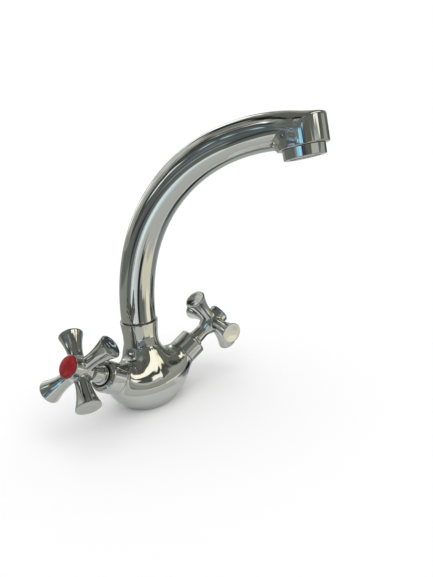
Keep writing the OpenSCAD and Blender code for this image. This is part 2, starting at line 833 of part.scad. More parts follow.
module aerator_screens() {
    r = housing_bore_r - bore_gap - 1.25;
    pitch = 2.4;
    wire = 0.5;
    rows = floor(r / pitch);
    color("gray") spout_frame() at_outlet() translate([0, 0, -head_drop - aerator_h + 4.05])
        for (level = [0, 1]) translate([0, 0, level * 1.2]) rotate([0, 0, level * 45]) {
            ring(r, r - 0.7, screen_t);
            for (n = [-rows:rows]) let (half = sqrt(r * r - pow(n * pitch, 2)) - 0.3) {
                translate([n * pitch - wire / 2, -half, 0]) cube([wire, 2 * half, screen_t]);
                translate([-half, n * pitch - wire / 2, 0]) cube([2 * half, wire, screen_t]);
            }
        }
}

module aerator_washer() {
    color("dimgray") spout_frame() at_outlet()
        translate([0, 0, -head_drop + outlet_thread_h - screw_in_gap - washer_h])
            ring(housing_bore_r - bore_gap, housing_bore_r - 2.6, washer_h + screw_in_gap);
}

body_casting();
base_gasket();
spout_lock_screw();
hot_headwork_body();
cold_headwork_body();
hot_headwork_washer();
cold_headwork_washer();
hot_seat_seal();
cold_seat_seal();
hot_fixed_disc();
cold_fixed_disc();
hot_sleeve();
cold_sleeve();
hot_mouth_ring();
cold_mouth_ring();
spout_tube();
spout_tail();
tail_upper_oring();
tail_lower_oring();
spout_slide_ring();
aerator_housing();
aerator_insert();
aerator_screens();
aerator_washer();
hot_cross_handle();
cold_cross_handle();
hot_index_button();
cold_index_button();
hot_handle_screw();
cold_handle_screw();
hot_spindle();
cold_spindle();
hot_spindle_orings();
cold_spindle_orings();
hot_spindle_clip();
cold_spindle_clip();
hot_moving_disc();
cold_moving_disc();
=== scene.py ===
# %% [markdown]
# A basin mixer tap: a crescent-shaped brass body with a tall curved spout and two cross handles, all
# chrome plated. Chrome has hardly a colour of its own. What we see on it is the room, bent by the
# shape, so this lesson spends its effort on two things: surfaces that are smooth to a hair, and a
# painted room that is worth reflecting.
#
# The CAD model comes first, as a fixed frame. Everything made here sits on it, in the same place.

import json
import math

import bpy
import numpy as np
from mathutils import Matrix, Vector


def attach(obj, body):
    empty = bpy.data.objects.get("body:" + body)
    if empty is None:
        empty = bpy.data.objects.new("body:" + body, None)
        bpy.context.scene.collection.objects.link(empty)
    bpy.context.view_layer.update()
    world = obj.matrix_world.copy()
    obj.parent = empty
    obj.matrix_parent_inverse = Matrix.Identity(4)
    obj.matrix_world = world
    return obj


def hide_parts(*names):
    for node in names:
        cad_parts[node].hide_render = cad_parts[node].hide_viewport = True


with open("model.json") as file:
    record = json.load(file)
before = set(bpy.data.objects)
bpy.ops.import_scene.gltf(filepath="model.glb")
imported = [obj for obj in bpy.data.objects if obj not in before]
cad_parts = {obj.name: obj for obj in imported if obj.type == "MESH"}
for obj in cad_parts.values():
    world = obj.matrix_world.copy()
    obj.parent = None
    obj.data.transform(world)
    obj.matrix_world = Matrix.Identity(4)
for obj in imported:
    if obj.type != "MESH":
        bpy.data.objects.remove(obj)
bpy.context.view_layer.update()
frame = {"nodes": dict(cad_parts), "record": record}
nodes = frame["nodes"]

# %% [markdown]
# A few sizes are given, and the curves follow from them. They are in millimetres, as in the CAD
# source, so that each smooth surface lies on its solid. The first ones place the two arms, which rise
# from a common crossing and lean forwards. What sits on an arm is made upright, with z running
# outwards along the arm, and is then turned into place.

# %% Where the arms stand
MM = 0.001
SIDES = ("hot", "cold")
CROSSING = np.array([0.0, -3.0, 9.6])
ARM_RISE = math.radians(37.0)
ARM_LEAN = math.radians(18.5)
ARM_LENGTH = 41.3
ARM_R = 12.05


def turn(axis, angle):
    """Rotation about the axis x, y or z. It moves the two others, u and v."""
    u, v = [("xyz".index(axis) + step) % 3 for step in (1, 2)]
    rotation = np.eye(3)
    rotation[[u, v], [u, v]] = math.cos(angle)
    rotation[v, u] = math.sin(angle)
    rotation[u, v] = -math.sin(angle)
    return rotation


def arm_place(side, along):
    """Rotation and centre of what sits on an arm, at a distance from the crossing."""
    sign = -1 if side == "hot" else 1
    rotation = turn("x", ARM_LEAN) @ turn("y", sign * (math.pi / 2 - ARM_RISE))
    return rotation, CROSSING + rotation @ np.array([0.0, 0.0, along])


for side in SIDES:
    print("The", side, "arm ends at", arm_place(side, ARM_LENGTH)[1].round(1), "mm")

# %% [markdown]
# How should a cast body be made? Subdivision surfaces are quick, but where a tube runs into a bowl
# the grid of the mesh pinches, and chrome shows every pinch. Instead each casting is written as a
# field: a number for each point in space, negative inside and positive outside. Two fields join
# with a soft minimum, which leaves a fillet like a foundry's, and meet with a soft maximum, which
# leaves a buffed edge.

# %% Joining fields
def soft_min(a, b, width):
    near = np.maximum(width - np.abs(a - b), 0) / width
    return np.minimum(a, b) - near * near * near * width / 6


def soft_max(a, b, width):
    return -soft_min(-a, -b, width)


def ease(share):
    """Goes from 0 to 1 with no corner at either end."""
    share = np.clip(share, 0, 1)
    return share * share * (3 - 2 * share)


print("A soft joint 6 mm wide fills the corner by", -soft_min(0.0, 0.0, 6.0), "mm")

# %% [markdown]
# A row of sizes along a piece has corners where one rule ends and the next begins. Blurring the row
# takes them off, so that a reflection glides over the place without a kink.

# %% Smoothing a row of sizes
ROW_STEP = 0.1
ROW_BLUR = 1.8
ROW_TAPS = 80


def smooth_row(row, step=ROW_STEP, blur=ROW_BLUR, taps=ROW_TAPS):
    """A row blurred by a bell curve that is given in millimetres, with its ends held."""
    bell = np.exp(-0.5 * (np.arange(-taps, taps + 1) * step / blur) ** 2)
    return np.convolve(np.pad(row, taps, mode="edge"), bell / bell.sum(), mode="valid")


print("The blur reaches", ROW_TAPS * ROW_STEP, "mm to either side")

# %% [markdown]
# The field becomes a mesh on a grid. Where an edge of the grid goes from inside to outside, the
# surface cuts it. Each cell with a cut edge gets one vertex, in the middle of its cuts, and the four
# cells round a cut edge make one face. So every face has four sides.

# %% From a field to a net
ROUND_AN_EDGE = ((-1, -1), (0, -1), (0, 0), (-1, 0))


def cut_edges(values, axis):
    """Where grid edges along an axis are cut, at what share, and whether they start inside."""
    first = np.moveaxis(values, axis, 0)[:-1]
    second = np.moveaxis(values, axis, 0)[1:]
    found = np.nonzero((first < 0) != (second < 0))
    start, end = first[found], second[found]
    u, v = [i for i in range(3) if i != axis]
    index = np.empty((len(start), 3), int)
    index[:, [axis, u, v]] = np.transpose(found)
    size = np.array(values.shape) - 1
    inner = np.all((index[:, [u, v]] > 0) & (index[:, [u, v]] < size[[u, v]]), axis=1)
    return index[inner], (start / (start - end))[inner], start[inner] < 0


def cells_round(index, axis, size):
    """The four cells that share each edge, in order round it."""
    u, v = [i for i in range(3) if i != axis]
    ring = []
    for du, dv in ROUND_AN_EDGE:
        corner = index.copy()
        corner[:, u] += du
        corner[:, v] += dv
        ring.append(np.ravel_multi_index(corner.T, size))
    return np.stack(ring, axis=1)


def net_of(field, low, high, step):
    """Vertices and four-sided faces of the surface where the field is zero."""
    axes = [np.arange(low[i], high[i] + step, step) for i in range(3)]
    values = np.stack([field(x, axes[1][:, None], axes[2][None, :]) for x in axes[0]])
    cells, cuts, faces = [], [], []
    for axis in range(3):
        index, share, starts_inside = cut_edges(values, axis)
        cut = np.stack([axes[i][index[:, i]] for i in range(3)], axis=1)
        cut[:, axis] += share * step
        ring = cells_round(index, axis, np.array(values.shape) - 1)
        cells.append(ring.T.ravel())
        cuts.append(np.tile(cut, (len(ROUND_AN_EDGE), 1)))
        outward = starts_inside == (axis != 1)
        faces.append(np.where(outward[:, None], ring, ring[:, ::-1]))
    names, where = np.unique(np.concatenate(cells), return_inverse=True)
    cuts = np.concatenate(cuts)
    sums = [np.bincount(where, cuts[:, i]) for i in range(3)]
    vertices = np.stack(sums, axis=1) / np.bincount(where)[:, None]
    return vertices, np.searchsorted(names, np.concatenate(faces))


print("A cut edge makes a face with", len(ROUND_AN_EDGE), "sides")

# %% [markdown]
# The net is still a little off the surface. So each vertex slides along the slope of the field until
# it lies on it. The slope there is also the exact normal.

# %% From the net to the surface
SLOPE_REACH = 0.04
SLIDES = 4
LONGEST_SLIDE = 0.6
FLATTEST = 0.05
TINY = 1e-6


def slope_of(field, points):
    slope = np.empty_like(points)
    for axis in range(3):
        shift = np.zeros(3)
        shift[axis] = SLOPE_REACH
        ahead = field(*(points + shift).T)
        behind = field(*(points - shift).T)
        slope[:, axis] = (ahead - behind) / (2 * SLOPE_REACH)
    return slope


def slide_to_surface(field, vertices):
    """Vertices on the surface, and the normals there."""
    for _ in range(SLIDES):
        slope = slope_of(field, vertices)
        steepness = np.maximum((slope ** 2).sum(1), FLATTEST)
        slide = np.clip(field(*vertices.T) / steepness, -LONGEST_SLIDE, LONGEST_SLIDE)
        vertices = vertices - slope * slide[:, None]
    slope = slope_of(field, vertices)
    return vertices, slope / np.maximum(np.linalg.norm(slope, axis=1), TINY)[:, None]


def cast(field, low, high, step):
    """Vertices, faces and normals of a field between two corners."""
    vertices, faces = net_of(field, low, high, step)
    vertices, normals = slide_to_surface(field, vertices)
    return vertices, faces, normals


print("A vertex can slide", SLIDES * LONGEST_SLIDE, "mm at most")

# %% [markdown]
# Giving these normals to the mesh makes the reflections as smooth as the formula, whatever the grid.
# Each piece then rides on an empty named for a body of the CAD model.

# %% Adding a piece
def add_object(name, data):
    piece = bpy.data.objects.new(name, data)
    bpy.context.scene.collection.objects.link(piece)
    return piece


def add_mesh(name, vertices, faces, normals, body):
    """A mesh object from millimetres, with its own normals, that rides on a body."""
    mesh = bpy.data.meshes.new(name)
    mesh.from_pydata((vertices * MM).tolist(), [], [list(face) for face in faces])
    mesh.update()
    mesh.shade_smooth()
    mesh.normals_split_custom_set_from_vertices(normals.tolist())
    piece = add_object(name, mesh)
    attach(piece, body)
    print(name, "has", len(vertices), "vertices and", len(faces), "faces")
    return piece


print("The scene is in metres, so a millimetre is", MM)

# %% [markdown]
# The crescent is a row of oval sections along an arc. In the middle an oval is deep and tall, and
# makes the bowl. At the ends it is round, and makes the arms. Underneath, the ovals touch a second
# arc, which is found from the rim of the arms and from how far the bowl drops. On top they rise in
# the middle into a saddle.

# %% Sections of the crescent
ARM_STUB = 2.5
BOWL_HALF_DEPTH = 23.8
BOWL_DROP = 12.0
SADDLE_RISE = 5.3
ROW_REACH = 60.0
LINE_LENGTH = ARM_LENGTH - ARM_STUB
LINE_RADIUS = LINE_LENGTH / math.tan(ARM_RISE)
LINE_CENTRE = LINE_LENGTH * math.sin(ARM_RISE) + LINE_RADIUS * math.cos(ARM_RISE)
RIM_X = (LINE_RADIUS + ARM_R) * math.sin(ARM_RISE)
RIM_Z = LINE_CENTRE - (LINE_RADIUS + ARM_R) * math.cos(ARM_RISE)
BOWL_CENTRE = (RIM_X ** 2 + RIM_Z ** 2 - BOWL_DROP ** 2) / (2 * (RIM_Z + BOWL_DROP))
BOWL_RADIUS = BOWL_CENTRE + BOWL_DROP

way = np.arange(-ROW_REACH, ROW_REACH, ROW_STEP)
angle = np.clip(way / LINE_RADIUS, -ARM_RISE, ARM_RISE)
lift = LINE_CENTRE - BOWL_CENTRE
bulge = 1 - (angle / ARM_RISE) ** 2
outer = lift * np.cos(angle) + np.sqrt(BOWL_RADIUS ** 2 - (lift * np.sin(angle)) ** 2)
inner = LINE_RADIUS - ARM_R - SADDLE_RISE * bulge
section_middle = smooth_row((outer + inner) / 2 - LINE_RADIUS)
section_half = smooth_row((outer - inner) / 2)
section_depth = smooth_row(ARM_R + (BOWL_HALF_DEPTH - ARM_R) * bulge)
print("The bowl is", round(2 * section_half.max(), 1), "mm tall and its arc", round(BOWL_RADIUS, 1), "mm")

# %% [markdown]
# For any point, the nearest place on the arc follows from the angle about the arc's centre. Its
# section is looked up there, and the point is weighed against that oval. Past the ends of the arc
# the arm runs straight on.

# %% The crescent as a field
ARM_END_EDGE = 0.5


def crescent_field(x, y, z):
    y = y - CROSSING[1]
    z = z - CROSSING[2]
    c, s = math.cos(ARM_LEAN), math.sin(ARM_LEAN)
    deep = c * y + s * z
    tall = LINE_CENTRE - (c * z - s * y)
    bearing = np.arctan2(x, tall)
    edge = np.clip(bearing, -ARM_RISE, ARM_RISE)
    on_arc = np.hypot(x, tall) - LINE_RADIUS
    off_arc = x * np.sin(edge) + tall * np.cos(edge) - LINE_RADIUS
    beyond = x * np.cos(edge) - tall * np.sin(edge)
    straight = np.abs(bearing) > ARM_RISE
    radial = np.where(straight, off_arc, on_arc)
    along = LINE_RADIUS * edge + np.where(straight, beyond, 0)
    middle = np.interp(along, way, section_middle)
    half = np.interp(along, way, section_half)
    wide = np.interp(along, way, section_depth)
    ratio = np.sqrt(((radial - middle) / half) ** 2 + (deep / wide) ** 2)
    field = (ratio - 1) * np.minimum(half, wide)
    return soft_max(field, np.abs(along) - (LINE_RADIUS * ARM_RISE + ARM_STUB), ARM_END_EDGE)


print("The arms end", round(LINE_RADIUS * ARM_RISE + ARM_STUB, 1), "mm along the arc from the middle")

# %% [markdown]
# The neck is turned, so its field is the distance from the axis less a radius for each height: a
# foot that flares, a slim waist, and a collar that opens as a cone up to the seam of the spout. A
# plain average over a few steps is enough to take the corners off the cone.

# %% The neck
NECK_HEIGHT = 69.0
LIP_R = 15.0
LIP_H = 3.0
LIP_EDGE = 0.6
WAIST_R = 14.0
WAIST_H = 6.0
WAIST_HEIGHT = 55.0
COLLAR_RISE = 2.0
COLLAR_TAPS = 8
FOOT_R = 20.5
FOOT_FLARE = 0.6
NECK_SPARE = 5.0

neck_z = np.arange(-NECK_SPARE, NECK_HEIGHT + NECK_SPARE, ROW_STEP)
above = np.clip((neck_z - WAIST_HEIGHT - COLLAR_RISE) / (NECK_HEIGHT - LIP_H - WAIST_HEIGHT), 0, 1)
average = np.full(2 * COLLAR_TAPS + 1, 1 / (2 * COLLAR_TAPS + 1))
above = np.convolve(np.pad(above, COLLAR_TAPS, mode="edge"), average, mode="valid")
below = np.clip((WAIST_HEIGHT - WAIST_H - neck_z) / (WAIST_HEIGHT - WAIST_H), 0, 1)
flared_foot = smooth_row((FOOT_R - WAIST_R) * below ** FOOT_FLARE)
neck_radius = WAIST_R + (LIP_R - WAIST_R) * above + flared_foot


def neck_field(radius, z):
    return soft_max(radius - np.interp(z, neck_z, neck_radius), z - NECK_HEIGHT, LIP_EDGE)


print("The neck goes from", neck_radius.min().round(2), "to", neck_radius.max().round(2), "mm radius")

# %% [markdown]
# The bores go in from below: two water inlets, the fixing stud, and a groove that holds the gasket.
# In a field a cut is a soft maximum with the hole turned inside out.

# %% Bores of the foot
INLET_X = 9.5
INLET_Y = -5.3
INLET_R = 4.5
INLET_TOP = 16.0
STUD_Y = 9.5
STUD_R = 3.4
STUD_TOP = 13.0
BORE_EDGE = 0.3
GROOVE_R = 17.5
GROOVE_HALF_WIDTH = 1.25
GROOVE_DEPTH = 2.0
GROOVE_EDGE = 0.2
FOOT_EDGE = 0.6


def hole(x, y, z, radius, top):
    return np.maximum(np.hypot(x, y) - radius, z - top)


def bored_foot(field, x, y, z):
    """A field cut off level with the deck, with the bores taken out."""
    field = soft_max(field, -z, FOOT_EDGE)
    for side in (-1, 1):
        inlet = hole(x - side * INLET_X, y - INLET_Y, z, INLET_R, INLET_TOP)
        field = soft_max(field, -inlet, BORE_EDGE)
    field = soft_max(field, -hole(x, y - STUD_Y, z, STUD_R, STUD_TOP), BORE_EDGE)
    groove = np.maximum(np.abs(np.hypot(x, y) - GROOVE_R) - GROOVE_HALF_WIDTH, z - GROOVE_DEPTH)
    return soft_max(field, -groove, GROOVE_EDGE)


print("The gasket's groove is", 2 * GROOVE_HALF_WIDTH, "mm wide")

# %% [markdown]
# A soft minimum welds the neck to the crescent. The fillet is wide at the front, where it carries
# the light of the window from the neck into the saddle, and tight beside the arms and at the back,
# so its width follows the direction of each point from the axis. It fades out towards the foot.

# %% The body
SIDE_FILLET = 8.0
FRONT_FILLET = 36.0
FILLET_FOOT = -2.0
FILLET_FADE = 28.0


def body_field(x, y, z):
    radius = np.hypot(x, y)
    ahead = np.minimum(y, 0)
    front = ahead * ahead / (radius * radius + 1) * ease((z - FILLET_FOOT) / FILLET_FADE)
    fillet = SIDE_FILLET + (FRONT_FILLET - SIDE_FILLET) * front
    return bored_foot(soft_min(crescent_field(x, y, z), neck_field(radius, z), fillet), x, y, z)


body = add_mesh("tap_body", *cast(body_field, (-50, -36, -2), (50, 26, 71), 0.7), "root")
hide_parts("body_casting")

# %% [markdown]
# The spout is a tube bent round two arcs, a short wide one over the neck and a long tighter one out
# to the outlet. As on the crescent, the nearest place on its middle line follows from the angle about
# the centre of each arc.

# %% The middle line of the spout
SPOUT_GAP = 0.65
SPOUT_FOOT = NECK_HEIGHT + SPOUT_GAP
STRAIGHT = 2.5
FIRST_RADIUS = 145.0
FIRST_ANGLE = math.radians(20.0)
SECOND_RADIUS = 120.0
END_DIP = math.radians(7.7)
SECOND_ANGLE = math.pi / 2 + END_DIP - FIRST_ANGLE
FIRST_LENGTH = FIRST_RADIUS * FIRST_ANGLE
TUBE_LENGTH = STRAIGHT + FIRST_LENGTH + SECOND_RADIUS * SECOND_ANGLE
FIRST_CENTRE = (FIRST_RADIUS, SPOUT_FOOT + STRAIGHT)
SECOND_CENTRE = (
    FIRST_RADIUS - (FIRST_RADIUS - SECOND_RADIUS) * math.cos(FIRST_ANGLE),
    FIRST_CENTRE[1] + (FIRST_RADIUS - SECOND_RADIUS) * math.sin(FIRST_ANGLE),
)
OUTLET = (
    SECOND_CENTRE[0] + SECOND_RADIUS * math.sin(END_DIP),
    SECOND_CENTRE[1] + SECOND_RADIUS * math.cos(END_DIP),
)


def about(centre, reach, z):
    """Angle about the centre of an arc, and distance from it."""
    return np.arctan2(z - centre[1], centre[0] - reach), np.hypot(z - centre[1], centre[0] - reach)


def middle_line(reach, z):
    """Distance outwards from the middle line, and length along it."""
    first, first_radius = about(FIRST_CENTRE, reach, z)
    second, second_radius = about(SECOND_CENTRE, reach, z)
    late = second > FIRST_ANGLE
    early = first < 0
    outward = np.where(early, -reach, first_radius - FIRST_RADIUS)
    outward = np.where(late, second_radius - SECOND_RADIUS, outward)
    length = np.where(early, z - SPOUT_FOOT, STRAIGHT + FIRST_RADIUS * first)
    late_length = STRAIGHT + FIRST_LENGTH + SECOND_RADIUS * (second - FIRST_ANGLE)
    return outward, np.where(late, late_length, length)


print("The tube is", round(TUBE_LENGTH, 1), "mm long and ends", round(OUTLET[0], 1), "mm from the axis")

# %% [markdown]
# The tube is round and gets slimmer on its way out. On its last stretch it flares nearly to the width
# of the outlet head, its sides get squarer, and its belly gets narrower. One formula of an oval with
# unequal powers does for all of it.

# %% The section of the tube
TUBE_START_R = 13.75
TUBE_MIDDLE_R = 12.7
TUBE_END_R = 10.3
TUBE_END_W = 14.0
FLARE_START = 0.78
SIDE_SQUARE = 0.35
CREST_SQUARE = 0.1
BELLY_TAPER = 0.2


def tube_size(length):
    """Half height of the oval at a length along the tube, and how far it has flared."""
    u = np.clip(length / TUBE_LENGTH, 0, 1)
    tall = TUBE_START_R * (1 - u) * (1 - 2 * u) + 4 * TUBE_MIDDLE_R * u * (1 - u)
    tall = tall + TUBE_END_R * u * (2 * u - 1)
    return tall, ease((u - FLARE_START) / (1 - FLARE_START))


def oval(x, outward, tall, flare, spread=0.0):
    wide = tall + (TUBE_END_W - TUBE_END_R) * flare + spread
    high = np.abs(outward) / tall
    wide = wide * np.where(outward < 0, 1 - BELLY_TAPER * flare * np.minimum(high, 1), 1)
    across = 2 / (1 - SIDE_SQUARE * flare)
    upright = np.where(outward < 0, 2, 2 / (1 - CREST_SQUARE * flare))
    return (((np.abs(x) / wide) ** across + high ** upright) ** (2 / (across + upright)) - 1) * tall


print("Half heights of the tube:", tube_size(np.linspace(0, TUBE_LENGTH, 5))[0].round(2), "mm")

# %% [markdown]
# The outlet head is a short cylinder that tilts a little. Its crown is the tube's own section
# running on: past the outlet's axis the crest rises nearly straight and the section spreads, so no
# crease shows where the tube ends and the head begins.

# %% The outlet head
HEAD_R = 14.85
HEAD_DROP = 8.7
HEAD_EDGE = 0.7
HEAD_CEILING = 20.0
OUTLET_TILT = math.radians(9.0)
CROWN_LIFT = 0.006
CROWN_SPREAD = 0.24
SPREAD_EASE = 4.0
CROWN_EDGE = 1.6


def outlet_frame(reach, z):
    """Distance before the outlet's axis and height along it."""
    c, s = math.cos(OUTLET_TILT), math.sin(OUTLET_TILT)
    back = OUTLET[0] - reach
    up = z - OUTLET[1]
    return c * back - s * up, s * back + c * up


def head_field(x, back, up, outward, tall, flare):
    ahead = np.maximum(-back, 0)
    crest = np.maximum(outward - ahead * ahead * CROWN_LIFT, 0)
    spread = CROWN_SPREAD * ahead * ahead / (ahead + SPREAD_EASE)
    crown = oval(x, crest, tall, flare, spread)
    head = soft_max(np.hypot(x, back) - HEAD_R, crown, CROWN_EDGE)
    head = soft_max(head, -HEAD_DROP - up, HEAD_EDGE)
    return np.maximum(head, up - HEAD_CEILING)


print("The head is", 2 * HEAD_R, "mm across and reaches", HEAD_DROP, "mm below the middle line")

# %% [markdown]
# Above its middle line the tube runs straight into the crown, and only below it is there a weld, as
# the real one has in the crook under the tube. Last, the head is bored for the aerator.

# %% The spout
WELD = 5.0
WELD_DEPTH = 6.0
LEAST_WELD = 0.01
TUBE_FOOT_EDGE = 0.5
TUBE_SPARE = 1.0
AERATOR_R = 12.35
AERATOR_GAP = 0.15
THREAD_R = 11.6
THREAD_DEPTH = 6.0
SPOUT_TURN = math.radians(16.3)


def spout_field(x, y, z):
    outward, length = middle_line(-y, z)
    tall, flare = tube_size(length)
    tube = soft_max(oval(x, outward, tall, flare), SPOUT_FOOT - z, TUBE_FOOT_EDGE)
    tube = np.maximum(tube, length - TUBE_LENGTH - TUBE_SPARE)
    back, up = outlet_frame(-y, z)
    head = head_field(x, back, up, outward, tall, flare)
    field = soft_min(tube, head, LEAST_WELD + WELD * ease(-outward / WELD_DEPTH))
    radius = np.hypot(x, back)
    field = np.maximum(field, -np.maximum(radius - AERATOR_R - AERATOR_GAP, up + HEAD_DROP))
    return soft_max(field, -np.maximum(radius - THREAD_R, up + HEAD_DROP - THREAD_DEPTH), BORE_EDGE)


vertices, faces, normals = cast(spout_field, (-17, -157, 68), (17, 15, 213), 0.8)
swing = turn("z", SPOUT_TURN)
spout = add_mesh("curved_spout", vertices @ swing.T, faces, normals @ swing.T, "spout")
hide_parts("spout_tube")

# %% [markdown]
# A cross handle is one casting: a turned hub with a slim skirt behind it, and four grips. The hub's
# outline is a row of radii along its axis, smoothed like the sections of the crescent. Heights count
# from the middle of the grips, so the skirt is found from the place of the sleeve's mouth.

# %% The hub of a handle
SLEEVE_LENGTH = 14.3
SLEEVE_TOP = ARM_LENGTH + SLEEVE_LENGTH
GRIP_OFFSET = 36.5
GRIP_S = ARM_LENGTH + GRIP_OFFSET
HUB_R = 8.6
HUB_FRONT = 10.2
HUB_BACK = 8.0
HUB_TAPER = 4.5
HUB_EDGE = 0.8
SKIRT_R = 7.2
SKIRT_WAIST_R = 5.7
SKIRT_DEPTH = 4.6
SKIRT_SHOW = 1.6
SKIRT_EDGE = 0.4
SKIRT_FOOT = SLEEVE_TOP - SKIRT_DEPTH - GRIP_S
SKIRT_TOP = SLEEVE_TOP + SKIRT_SHOW - GRIP_S
SHOULDER_LOW = 0.3
SHOULDER_HIGH = 0.5
HUB_CHAMFER = 1.4
HUB_ROUND = 2.0
HUB_SPARE = 2.0
EASING = 0.4
HUB_STEP = 0.05
HUB_BLUR = 0.35
HUB_TAPS = 30

hub_points = np.array([
    [SKIRT_FOOT - HUB_SPARE, SKIRT_R], [SKIRT_TOP - SHOULDER_LOW, SKIRT_R],
    [SKIRT_TOP + SHOULDER_HIGH, SKIRT_WAIST_R + EASING], [-HUB_BACK - HUB_TAPER, SKIRT_WAIST_R],
    [-HUB_BACK - HUB_TAPER / 2, SKIRT_WAIST_R + EASING], [-HUB_BACK, HUB_R - HUB_CHAMFER],
    [-HUB_BACK + HUB_ROUND, HUB_R - EASING], [-HUB_BACK + HUB_TAPER, HUB_R],
    [HUB_FRONT + HUB_SPARE, HUB_R],
])
hub_z = np.arange(SKIRT_FOOT - HUB_SPARE, HUB_FRONT + HUB_SPARE, HUB_STEP)
hub_radius = np.interp(hub_z, hub_points[:, 0], hub_points[:, 1])
hub_radius = smooth_row(hub_radius, HUB_STEP, HUB_BLUR, HUB_TAPS)


def hub_field(x, y, z):
    hub = np.hypot(x, y) - np.interp(z, hub_z, hub_radius)
    hub = soft_max(hub, z - HUB_FRONT, HUB_EDGE)
    return soft_max(hub, SKIRT_FOOT - z, SKIRT_EDGE)


print("The hub with its skirt is", round(HUB_FRONT - SKIRT_FOOT, 1), "mm long")

# %% [markdown]
# A grip flares like a trumpet and ends in a shallow dish. Its radius grows with a power of the
# distance, so the field is divided by the slant of the wall, which keeps it a true distance for the
# soft joints.

# %% A grip
GRIP_REACH = 29.8
GRIP_END_R = 8.8
GRIP_WAIST_R = 4.7
GRIP_START = HUB_R - 3
GRIP_RIM = 0.9
GRIP_FLARE = GRIP_REACH - GRIP_RIM - GRIP_START
GRIP_CURVE = 2.15
GRIP_ROOT = 0.9
GRIP_EDGE = 1.8
DISH_RADIUS = 28.0
DISH_DEPTH = 0.9
DISH_EDGE = 0.8


def grip_field(x, y, z):
    t = np.clip((x - GRIP_START) / GRIP_FLARE, 0, 1.1)
    flared = (GRIP_END_R - GRIP_WAIST_R) * t ** GRIP_CURVE
    radius = GRIP_WAIST_R + flared + GRIP_ROOT * np.maximum(1 - t, 0) ** 4
    slant = (GRIP_END_R - GRIP_WAIST_R) * GRIP_CURVE * t ** (GRIP_CURVE - 1) / GRIP_FLARE
    field = (np.hypot(y, z) - radius) / np.sqrt(1 + slant * slant)
    field = soft_max(field, x - GRIP_REACH, GRIP_EDGE)
    dish_x = x - GRIP_REACH + DISH_DEPTH - DISH_RADIUS
    dish = DISH_RADIUS - np.sqrt(dish_x ** 2 + y * y + z * z)
    return soft_max(field, dish, DISH_EDGE)


print("The grips span", 2 * GRIP_REACH, "mm")

# %% [markdown]
# The four grips are alike, so the field folds the plane and computes one. The same mesh serves both
# sides, turned as each handle stands when its valve is closed.

# %% The cross handles
GRIP_WELD = 2.4
CLOSED = {"hot": math.radians(66.6), "cold": math.radians(75.0)}


def handle_field(x, y, z):
    along = np.maximum(np.abs(x), np.abs(y))
    across = np.minimum(np.abs(x), np.abs(y))
    return soft_min(hub_field(x, y, z), grip_field(along, across, z), GRIP_WELD)


cross_low = (-31, -31, SKIRT_FOOT - 1)
cross_high = (31, 31, HUB_FRONT + 1)
vertices, faces, normals = cast(handle_field, cross_low, cross_high, 0.5)
handles = []
for side in SIDES:
    rotation, centre = arm_place(side, GRIP_S)
    rotation = rotation @ turn("z", CLOSED[side])
    turned_vertices = vertices @ rotation.T + centre
    turned_normals = normals @ rotation.T
    handle = add_mesh(side + "_cross", turned_vertices, faces, turned_normals, side + "_handle")
    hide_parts(side + "_cross_handle")
    handles.append(handle)

# %% [markdown]
# Sleeves, mouth rings, buttons and the aerator ring are turned parts: a profile spun about an axis.
# No real edge is sharp, so each corner of the profile gets a small arc first. As before, the
# normals come from the profile itself and not from the average of the faces.

# %% Rounding the corners of a profile
ARC_POINTS = 7
LARGEST_SHARE = 0.45


def unit(vector):
    return vector / np.linalg.norm(vector)


def outward_of(tangent):
    """The normal of a profile that runs up the outside."""
    return np.array([tangent[1], -tangent[0]])


def corner_arc(before, corner, after, arc):
    """Points and normals of a small round in place of a corner."""
    back, on = before - corner, after - corner
    room = LARGEST_SHARE * min(np.linalg.norm(back), np.linalg.norm(on))
    back, on = unit(back), unit(on)
    half = math.acos(np.clip(back @ on, -1, 1)) / 2
    cut = min(arc / math.tan(half), room)
    start, end = corner + back * cut, corner + on * cut
    points, normals = [], []
    for share in np.linspace(0, 1, ARC_POINTS):
        rest = 1 - share
        points.append(rest ** 2 * start + 2 * share * rest * corner + share ** 2 * end)
        normals.append(outward_of(unit(rest * (corner - start) + share * (end - corner))))
    return points, normals


def round_corners(profile, closed):
    """Points and normals of a profile. Each entry is radius, height and the size of its corner arc."""
    corners = [np.array(entry[:2], float) for entry in profile]
    last = len(corners) - 1
    points, normals = [], []
    for i, corner in enumerate(corners):
        if not closed and i in (0, last):
            course = corners[1] - corners[0] if i == 0 else corners[last] - corners[last - 1]
            points.append(corner)
            normals.append(outward_of(unit(course)))
            continue
        arc = corner_arc(corners[i - 1], corner, corners[(i + 1) % len(corners)], profile[i][2])
        points += arc[0]
        normals += arc[1]
    return np.array(points), np.array(normals)


print("A corner becomes", ARC_POINTS, "points")

# %% [markdown]
# Spinning makes one ring of vertices for each point of the profile. An open profile starts and ends
# on the axis. There a ring shrinks to a single vertex, and the faces next to it have three sides.

# %% Spinning a profile
SPIN_SIDES = 144


def spun_vertices(points, normals):
    """Vertices, their normals, and the number of each vertex by ring and side."""
    spin = 2 * math.pi * np.arange(SPIN_SIDES) / SPIN_SIDES
    aim = np.column_stack([np.cos(spin), np.sin(spin)])
    vertices, vertex_normals, index, count = [], [], [], 0
    for (radius, height), (outward, upward) in zip(points, normals):
        ring = aim
        if radius < TINY:
            ring, outward, upward = aim[:1], 0, np.sign(upward) or 1
        level = np.ones(len(ring))
        vertices.append(np.column_stack([ring * radius, level * height]))
        vertex_normals.append(np.column_stack([ring * outward, level * upward]))
        index.append(count + np.arange(SPIN_SIDES) % len(ring))
        count += len(ring)
    return np.concatenate(vertices), np.concatenate(vertex_normals), np.array(index)


